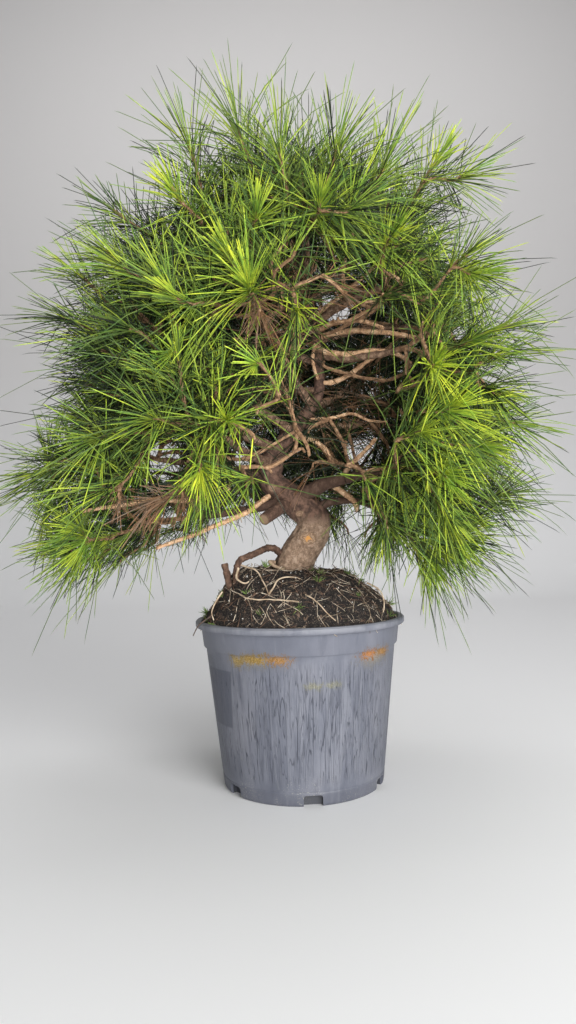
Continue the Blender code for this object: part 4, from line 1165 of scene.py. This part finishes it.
# Layers of shoots from the outside in: spacing, depth below the outline, needles each, needled length, share of
# shoots with a young tip, and the share of each tint
layers = (
    dict(spacing=0.0260, depth=0.076, spread=0.050, needles=39, length=0.052, young=0.42, tints=(1, 2, 2, 2, 3, 3)),
    dict(spacing=0.0275, depth=0.106, spread=0.045, needles=44, length=0.050, young=0.10, tints=(2, 3, 3, 4)),
    dict(spacing=0.0330, depth=0.150, spread=0.040, needles=38, length=0.048, young=0.0, tints=(4, 4, 4, 4, 5)),
    dict(spacing=0.0285, depth=0.195, spread=0.070, needles=36, length=0.050, young=0.0, tints=(4, 4, 4, 4, 5)),
)
# needlesShade is nearly black: painted shade for the inside of the crown, which the two inner layers mostly take
tints = {
    "needlesBright": (0.490, 0.600, 0.056),
    "needlesFresh": (0.350, 0.465, 0.046),
    "needlesLeaf": (0.240, 0.345, 0.045),
    "needlesDeep": (0.098, 0.156, 0.034),
    "needlesShade": (0.013, 0.020, 0.008),
    "needlesDry": (0.190, 0.112, 0.062),
}
tintNames = list(tints)
# Shoots that show in front: place in the photo, azimuth and elevation of the heading, tint, size
frontShoots = (
    dict(u=233, v=122, heading=(-110, 78), tint=2, size=1.1),
    dict(u=190, v=139, heading=(-140, 60), tint=2, size=1.0),
    dict(u=172, v=185, heading=(-130, 60), tint=1, size=1.0),
    dict(u=249, v=284, heading=(-108, 48), tint=0, size=1.2),
    dict(u=123, v=264, heading=(-140, 22), tint=2, size=1.0),
    dict(u=59, v=315, heading=(-165, 10), tint=3, size=0.85),
    dict(u=172, v=300, heading=(-130, 30), tint=1, size=1.0),
    dict(u=277, v=145, heading=(-95, 62), tint=2, size=1.0),
    dict(u=259, v=208, heading=(-95, 58), tint=1, size=1.0),
    dict(u=339, v=145, heading=(-75, 62), tint=2, size=1.0),
    dict(u=391, v=163, heading=(-60, 58), tint=2, size=1.0),
    dict(u=442, v=151, heading=(-30, 48), tint=1, size=1.0),
    dict(u=464, v=175, heading=(-20, 38), tint=2, size=0.85),
    dict(u=389, v=232, heading=(-75, 18), tint=1, size=1.0),
    dict(u=321, v=200, heading=(-90, 42), tint=1, size=1.0),
    dict(u=355, v=208, heading=(-80, 60), tint=2, size=1.0),
    dict(u=470, v=254, heading=(-30, 20), tint=2, size=0.85),
    dict(u=379, v=297, heading=(-75, 0), tint=3, size=0.9),
    dict(u=500, v=356, heading=(-15, 12), tint=2, size=0.85),
    dict(u=504, v=398, heading=(-15, 0), tint=1, size=0.85),
    dict(u=488, v=390, heading=(-40, 10), tint=3, size=0.85),
    dict(u=56, v=580, heading=(-165, -62), tint=2, size=0.7),
    dict(u=182, v=506, heading=(-110, -70), tint=5, size=0.34),
    dict(u=114, v=510, heading=(-120, -76), tint=5, size=0.32),
    dict(u=262, v=316, heading=(-100, -60), tint=5, size=0.5),
    dict(u=352, v=296, heading=(-80, -40), tint=5, size=0.4),
    dict(u=24, v=462, heading=(-178, 2), tint=2, size=0.8),
    dict(u=517, v=323, heading=(-10, 15), tint=2, size=0.8),
    dict(u=230, v=420, heading=(-100, -6), tint=0, size=1.1),
    dict(u=262, v=360, heading=(-92, -40), tint=1, size=0.95),
    dict(u=172, v=348, heading=(-115, -40), tint=1, size=1.0),
    dict(u=200, v=479, heading=(-110, -48), tint=0, size=1.0),
    dict(u=24, v=484, heading=(-175, -5), tint=2, size=1.0),
    dict(u=50, v=545, heading=(-165, -52), tint=0, size=0.9),
    dict(u=80, v=548, heading=(-150, -58), tint=1, size=1.0),
    dict(u=103, v=495, heading=(-140, -15), tint=2, size=1.0),
    dict(u=452, v=403, heading=(-76, 28), tint=0, size=1.2),
    dict(u=432, v=365, heading=(-80, 28), tint=0, size=1.0),
    dict(u=484, v=445, heading=(-50, -10), tint=1, size=1.0),
    dict(u=446, v=480, heading=(-75, -42), tint=0, size=1.0),
    dict(u=452, v=548, heading=(-60, -48), tint=1, size=1.0),
    dict(u=438, v=573, heading=(-80, -66), tint=0, size=1.0),
    dict(u=382, v=535, heading=(-100, -48), tint=3, size=0.9),
    dict(u=225, v=250, heading=(-100, 25), tint=1, size=1.0),
    dict(u=130, v=330, heading=(-130, 0), tint=3, size=1.0),
    dict(u=110, v=210, heading=(-150, 35), tint=3, size=0.8),
    dict(u=300, v=250, heading=(-90, 20), tint=2, size=0.9),
    dict(u=330, v=275, heading=(-85, -10), tint=3, size=0.9),
    dict(u=420, v=320, heading=(-75, 20), tint=2, size=1.0),
    dict(u=150, v=420, heading=(-120, -12), tint=2, size=1.0),
    dict(u=90, v=440, heading=(-150, -8), tint=2, size=1.0),
    dict(u=260, v=440, heading=(-85, -40), tint=1, size=1.0),
    dict(u=520, v=420, heading=(-20, -5), tint=2, size=0.8),
    dict(u=510, v=500, heading=(-25, -30), tint=2, size=0.85),
    dict(u=420, v=430, heading=(-95, -15), tint=1, size=0.9),
    dict(u=478, v=275, heading=(-25, 8), tint=1, size=1.0),
    dict(u=472, v=340, heading=(-45, 15), tint=2, size=0.9),
    dict(u=303, v=314, heading=(-95, 5), tint=1, size=0.8),
    dict(u=258, v=488, heading=(-85, -45), tint=2, size=0.8),
    dict(u=163, v=288, heading=(-115, 35), tint=2, size=0.9),
    dict(u=95, v=352, heading=(-140, 5), tint=3, size=0.7),
    dict(u=65, v=262, heading=(-160, 30), tint=2, size=0.8),
    dict(u=104, v=246, heading=(-145, 40), tint=2, size=0.7),
    dict(u=165, v=508, heading=(-115, -66), tint=5, size=0.48),
    dict(u=145, v=512, heading=(-125, -72), tint=5, size=0.46),
    dict(u=35, v=500, heading=(-175, -25), tint=2, size=1.0),
    dict(u=30, v=535, heading=(-178, -35), tint=2, size=0.8),
    dict(u=60, v=560, heading=(-160, -68), tint=1, size=0.85),
    dict(u=36, v=560, heading=(-178, -55), tint=2, size=0.8),
    dict(u=18, v=482, heading=(180, -20), tint=1, size=0.85),
    dict(u=55, v=462, heading=(-170, -15), tint=3, size=0.9),
    dict(u=75, v=530, heading=(-150, -40), tint=1, size=0.9),
    dict(u=470, v=565, heading=(-50, -50), tint=1, size=0.9),
    dict(u=503, v=545, heading=(-20, -35), tint=1, size=0.8),
    dict(u=515, v=515, heading=(-15, -25), tint=3, size=0.75),
    dict(u=468, v=576, heading=(-60, -72), tint=1, size=1.0),
    dict(u=445, v=579, heading=(-80, -72), tint=1, size=1.0),
    dict(u=485, v=576, heading=(-40, -66), tint=1, size=1.0),
    dict(u=418, v=564, heading=(-95, -62), tint=2, size=0.8),
    dict(u=490, v=575, heading=(-30, -55), tint=3, size=0.75),
    dict(u=445, v=520, heading=(-70, -35), tint=2, size=0.9),
)


def onCrown(u, v, depth):
    # where the sight line through the photo's pixel (u, v) comes this far into the crown, or nearest to it
    out = sightLine(u, v, np.linspace(*foliage["sightSpan"], 900)) - heart
    away = np.linalg.norm(out, axis=1)
    over = away - crownReach(out / away[:, None]) + depth
    nearest = np.argmax(over <= 0) if (over <= 0).any() else np.argmin(over)
    toward = out[nearest] / away[nearest]
    return heart + toward * (crownReach(toward) - depth)


def shootTargets():
    names = list(masses)
    seeds = np.array([massSeed(name) for name in names])
    targets = {name: [] for name in names}
    taken = [heart]

    def keep(end, aim, tint, needles, length, size, young):
        taken.append(end)
        nearest = int(np.argmin(((seeds - end) ** 2).sum(1)))
        end = end + (seeds[nearest] - end) * foliage["pull"]
        targets[names[nearest]].append(
            dict(end=end, aim=unit(aim), tint=tint, needles=needles, length=length, size=size, young=young))

    for shoot in frontShoots:
        tint, size = shoot["tint"], shoot["size"]
        needles = round(foliage["frontNeedles"] * size)
        end = onCrown(shoot["u"], shoot["v"], foliage["tipDepth"])
        keep(end, direction(*shoot["heading"]), tint, needles, foliage["frontLength"] * size, size, tint < 2)
    golden = math.pi * (3 - math.sqrt(5))
    for layer in layers:
        for k in draw.permutation(foliage["directions"]):
            height = 1 - 2 * (k + 0.5) / foliage["directions"]
            level = math.sqrt(1 - height * height)
            toward = np.array((level * math.cos(k * golden), level * math.sin(k * golden), height))
            depth = layer["depth"] + inset(toward) + layer["spread"] * draw.uniform() ** 1.3
            end = heart + toward * (crownReach(toward) - depth)
            if inOpening(end) or inWindow(end) or inHollow(end):
                continue
            if end[2] < skirtHeight(end) + foliage["aboveSkirt"]:
                continue
            if np.linalg.norm(np.array(taken) - end, axis=1).min() < layer["spacing"]:
                continue
            lift = 0.40 + 0.60 * abs(toward[1]) if toward[2] > -0.42 else -0.30
            aim = unit(toward + np.array((0.0, 0.0, lift))) + draw.normal(0, 0.26, 3)
            tint = int(layer["tints"][draw.integers(len(layer["tints"]))])
            if toward[0] < -0.45 and toward[2] > -0.15 and tint < 4 and draw.uniform() < 0.4:
                # the left of the crown is a tint darker: painted shade on the side away from the light, and more old
                # shoots
                tint += 1
            keep(end, aim, tint, layer["needles"], layer["length"], draw.uniform(0.85, 1.12),
                 draw.uniform() < layer["young"])
    return targets


def growMass(name, targets, twigs, shoots):
    # the source's rule: a stem, then each twig from the joint that reaches its end with least effort
    start, heading = stems[name]
    seed = massSeed(name)
    ordered = sorted(targets, key=lambda item: np.linalg.norm(item["end"] - seed))
    points, headings, lengths = [], [], []

    def grow(frm, leaving, item, steps, footRadius):
        span = np.linalg.norm(item["end"] - frm)
        bend = span * 0.36
        path = curvePoints((frm, frm + leaving * bend, item["end"] - item["aim"] * bend, item["end"]), steps + 1)
        radii = np.linspace(footRadius, foliage["tipRadius"], steps + 1)
        radii = [r * (1 + 0.22 * noise.noise(Vector(p * 260))) for r, p in zip(radii, path)]
        twigs.addTube(path, radii, foliage["twigSides"])
        for i in range(1, steps):
            points.append(path[i])
            headings.append(unit(path[i + 1] - path[i - 1]))
            lengths.append(np.linalg.norm(path[i] - start))
        shoots.append((path, item))

    grow(start, heading, ordered[0], foliage["stemSteps"], boughs["tipRadius"])
    for item in sorted(ordered[1:], key=lambda item: np.linalg.norm(item["end"] - start)):
        ways = item["end"] - np.array(points)
        spans = np.linalg.norm(ways, axis=1)
        turning = 1 - (ways * np.array(headings)).sum(1) / spans
        k = int(np.argmin(spans * (1 + 0.6 * turning) + 0.2 * np.array(lengths)))
        leaving = unit(headings[k] + unit(ways[k]))
        grow(points[k], leaving, item, foliage["twigSteps"], foliage["footRadius"])


def shootNeedles(path, item, rows):
    # needles stand round the last stretch of a twig, leaning further forward towards its tip; the newest are short
    # and close together
    steps = np.linalg.norm(np.diff(path, axis=0), axis=1)
    along = np.concatenate(([0], np.cumsum(steps)))
    length = min(item["length"], along[-1] * 0.85)
    count = item["needles"]
    share = (np.arange(count) + draw.uniform(0, 1, count)) / count
    young = (share > 1 - foliage["youngShare"]) & item["young"]
    at = along[-1] - length * (1 - share) ** 1.15
    root = np.stack([np.interp(at, along, path[:, c]) for c in range(3)], 1)
    k = np.clip(np.searchsorted(along, at) - 1, 0, len(steps) - 1)
    axis = (path[k + 1] - path[k]) / steps[k, None]
    side = np.cross(axis, (0.3, 0.8, 0.52))
    side /= np.linalg.norm(side, axis=1)[:, None]
    turn = (np.arange(count) * 2.39996 + draw.uniform(-0.5, 0.5, count))[:, None]
    out = np.cos(turn) * side + np.sin(turn) * np.cross(axis, side)
    tipward = np.clip((share - 1 + foliage["youngShare"]) / foliage["youngShare"], 0, 1)
    lean = foliage["leanFoot"] + (foliage["leanTip"] - foliage["leanFoot"]) * share**0.8
    lean = np.where(young, np.interp(tipward, (0, 1), foliage["youngLean"]), lean)
    lean = (np.radians(lean) + draw.normal(0, foliage["leanSpread"], count))[:, None]
    way = np.cos(lean) * axis + np.sin(lean) * out
    size = (foliage["needleLength"] + draw.normal(0, foliage["needleSpread"], count)) * item["size"]
    stray = ~young & (draw.uniform(0, 1, count) < foliage["strayShare"])
    size *= np.where(young, foliage["youngLength"], np.where(stray, foliage["strayLength"], 1.0))
    size, kept = withinReach(root, way, size, item["tint"] == 5)
    tint = item["tint"] + np.where(young, 0, np.where(share < 0.45, 1, item["young"] * 1))
    tint += draw.choice(foliage["tintSteps"], count)
    tint = np.clip(np.where(stray, np.maximum(tint, 3), tint), 0, 4)
    if item["tint"] == 5:
        tint[:] = 5
    table = np.column_stack((root, way, size, draw.uniform(0, 2 * math.pi, count)))
    for number in set(tint.tolist()):
        rows[number].append(table[kept & (tint == number)])


def stubble(path, radius, rows):
    # short dry stumps of needles all round a bare limb
    steps = np.linalg.norm(np.diff(path, axis=0), axis=1)
    along = np.concatenate(([0], np.cumsum(steps)))
    count = int(along[-1] / foliage["stubbleSpacing"])
    at = draw.uniform(0.1, 1, count) * along[-1]
    root = np.stack([np.interp(at, along, path[:, c]) for c in range(3)], 1)
    k = np.clip(np.searchsorted(along, at) - 1, 0, len(steps) - 1)
    axis = (path[k + 1] - path[k]) / steps[k, None]
    way = draw.normal(0, 1, (count, 3)) + axis * 0.5
    way -= axis * np.minimum((way * axis).sum(1), 0)[:, None]
    way /= np.linalg.norm(way, axis=1)[:, None]
    size = radius + foliage["stubbleLength"] * draw.uniform(0.2, 1, count) ** 2
    rows[5].append(np.column_stack((root, way, size, draw.uniform(0, 2 * math.pi, count))))


def withinReach(root, way, size, dry):
    # shortens needles that would pass the crown's outline, and drops those that enter an opening;
    # dry needles stay in the hollows
    fitting, found = size * 0, np.zeros(len(size), bool)
    for share in (1.0, 0.9, 0.8, 0.7, 0.6):
        tip = root + way * (size * share)[:, None]
        out = tip - heart
        away = np.linalg.norm(out, axis=1)
        fits = away < crownReach(out / away[:, None])
        fits &= tip[:, 2] > skirtHeight(tip) - foliage["belowSkirt"]
        fresh = fits & ~found
        fitting[fresh] = size[fresh] * share
        found |= fits
    luck = draw.uniform(0, 1, len(size))
    for share in np.linspace(0, 1, 5):
        p = root + way * (fitting * share)[:, None]
        found &= ~(inWindow(p) & (luck < crown["windowShare"]))
        found &= ~(inOpening(p) & (luck < crown["openingShare"]))
        found &= ~(inHollow(p) & (luck < crown["hollowShare"])) | dry
    return fitting, found


def needleTemplate():
    # a slim three-sided needle along +Z, one unit long, nearly as wide up to its short tip
    levels, sides = (0.0, 0.5, 0.93), 3
    points, faces = [], [(2, 1, 0)]
    for z, width in zip(levels, (0.8, 1.0, 0.8)):
        for k in range(sides):
            a = 2 * math.pi * k / sides
            points.append((width * math.cos(a), width * math.sin(a), z))
    for ring in range(len(levels) - 1):
        low = ring * sides
        for k in range(sides):
            after = (k + 1) % sides
            faces.append((low + k, low + after, low + sides + after, low + sides + k))
    top = (len(levels) - 1) * sides
    points.append((0, 0, 1))
    for k in range(sides):
        faces.append((top + k, top + (k + 1) % sides, top + sides))
    return newObject("needleTemplate", points, faces, smooth=False)


def needleTree(material, template):
    # each point carries its needle's way, size and curl; a needle sinks with the square of the distance from its root
    g = Growth("needles", Thickness=0.0005, Droop=0.3)
    turn = g.node("FunctionNodeAlignRotationToVector", {"axis": "Z"}, {"Vector": g.layer("way")})
    thick = g.get("Thickness")
    scale = g.node("ShaderNodeCombineXYZ", sockets={0: thick, 1: thick, 2: g.layer("size", "FLOAT")})
    away = g.vector("DISTANCE", g.node("GeometryNodeInputPosition"), g.layer("root"))
    sink = g.vector("SCALE", g.layer("curl"), Scale=away * away * g.get("Droop"))
    g.stand(g.get("Geometry"), template, turn, scale, material, sink)
    return g


def needlePoints(name, rows):
    mesh = bpy.data.meshes.new(name)
    mesh.vertices.add(len(rows))
    mesh.vertices.foreach_set("co", rows[:, :3].astype(np.float32).ravel())
    curls = np.stack((1.6 * np.cos(rows[:, 7]), 1.6 * np.sin(rows[:, 7]), -5.0 - 4.0 * np.sin(3 * rows[:, 7])), 1)
    for label, kind, values in (("way", "FLOAT_VECTOR", rows[:, 3:6]), ("root", "FLOAT_VECTOR", rows[:, :3]),
                                ("curl", "FLOAT_VECTOR", curls), ("size", "FLOAT", rows[:, 6])):
        layer = mesh.attributes.new(label, kind, "POINT")
        layer.data.foreach_set("vector" if kind == "FLOAT_VECTOR" else "value",
                               np.ascontiguousarray(values, np.float32).ravel())
    obj = bpy.data.objects.new(name, mesh)
    scene.collection.objects.link(obj)
    return obj


def makeNeedles(rows):
    template = needleTemplate()
    foliageNodes = [n for n in nodeNames if n.startswith("foliage_")]
    mostNeedles = 12000
    for name, groups, thickness in zip(tintNames, rows, foliage["needleThickness"]):
        color = tints[name]
        p = Paint(name, 0.5)
        p.shader.inputs["Specular IOR Level"].default_value = 0.22
        yellower = tuple(min(1, c * k) for c, k in zip(color, (1.38, 1.20, 1.05)))
        bluer = tuple(c * k for c, k in zip(color, (0.58, 0.76, 0.95)))
        material = p.finish(p.mix(p.step(p.noise(48, 3), 0.30, 0.70), bluer, yellower))
        g = needleTree(material, template)
        entries = np.vstack(groups)
        for part, low in enumerate(range(0, len(entries), mostNeedles)):
            obj = needlePoints(f"{name}{part + 1}", entries[low : low + mostNeedles])
            g.apply(obj, Thickness=thickness, Droop=foliage["droop"])
            obj.data.materials.clear()
            obj.data.materials.append(material)
            for label in ("way", "root", "curl", "size"):
                layer = obj.data.attributes.get(label)
                if layer:
                    obj.data.attributes.remove(layer)
            settle(obj, "needles", *foliageNodes)
    bpy.data.objects.remove(template)


def makeFoliage():
    twigs, shoots = MeshParts(), []
    for name, targets in shootTargets().items():
        growMass(name, targets, twigs, shoots)
    obj = twigs.toObject("twigs")
    p = Paint("twigBark")
    tone = p.noise(260, 4)
    color = p.ramp(tone, ((0.35, (0.15, 0.080, 0.042)), (0.55, (0.33, 0.19, 0.100)), (0.70, (0.46, 0.31, 0.18))))
    obj.data.materials.append(p.finish(color, 0.85, p.bump(tone, 0.5, 0.0008)))
    settle(obj, "needles", *[n for n in nodeNames if n.startswith("foliage_")])
    rows = [[] for _ in tints]
    for path, item in shoots:
        shootNeedles(path, item, rows)
    for path, radius in barePaths:
        stubble(path, radius, rows)
    print("shoots", len(shoots), "needles", [sum(len(part) for part in groups) for groups in rows])
    makeNeedles(rows)


makeFoliage()
print("foliage done")


# Floor, backdrop and light

def makeStage():
    flat, bend, rise = 2.0, 0.6, 3.6
    outline = [(-5.0, 0.0), (flat, 0.0)]
    for k in range(1, 13):
        a = math.pi / 2 * k / 12
        outline.append((flat + bend * math.sin(a), bend - bend * math.cos(a)))
    outline.append((flat + bend, rise))
    points = [(side, y, z - 0.0002) for side in (-5.0, 5.0) for y, z in outline]
    count = len(outline)
    faces = [(k, k + 1, count + k + 1, count + k)[::-1] for k in range(count - 1)]
    obj = newObject("floor", points, faces)
    p = Paint("floorPaint", 0.7)
    height = p.axes()[2]
    obj.data.materials.append(p.finish(p.mix(p.step(height, 0.0, 1.4), (0.88, 0.88, 0.885), (0.66, 0.645, 0.64))))


def addLight(name, place, target, size, power, color=(1, 1, 1)):
    data = bpy.data.lights.new(name, "AREA")
    data.shape = "RECTANGLE"
    data.size, data.size_y = size
    data.energy = power
    data.color = color
    obj = bpy.data.objects.new(name, data)
    obj.location = place
    obj.rotation_euler = (Vector(target) - Vector(place)).to_track_quat("-Z", "Y").to_euler()
    obj.visible_camera = False
    scene.collection.objects.link(obj)


def makeLights():
    world = bpy.data.worlds.new("studio")
    world.use_nodes = True
    world.node_tree.nodes["Background"].inputs["Color"].default_value = (0.97, 0.98, 1.0, 1)
    world.node_tree.nodes["Background"].inputs["Strength"].default_value = 0.20
    scene.world = world
    addLight("windowLight", (0.9, -1.7, 0.95), (0, 0, 0.40), (1.2, 1.0), 32)
    addLight("frontLight", (0.45, -1.8, 0.50), (0, 0, 0.36), (1.4, 0.8), 14)
    addLight("lowLight", (0.10, -1.5, 0.09), (0.07, 0, 0.44), (0.5, 0.4), 11)
    addLight("ceilingLight", (0.1, -0.1, 2.1), (0, 0, 0.45), (1.4, 1.4), 5)
    addLight("wallLight", (0, 1.0, 2.8), (0, 2.6, 0.7), (3.0, 0.6), 24)
    scene.view_settings.view_transform = "Standard"


makeStage()
makeLights()
print("stage and lights done")
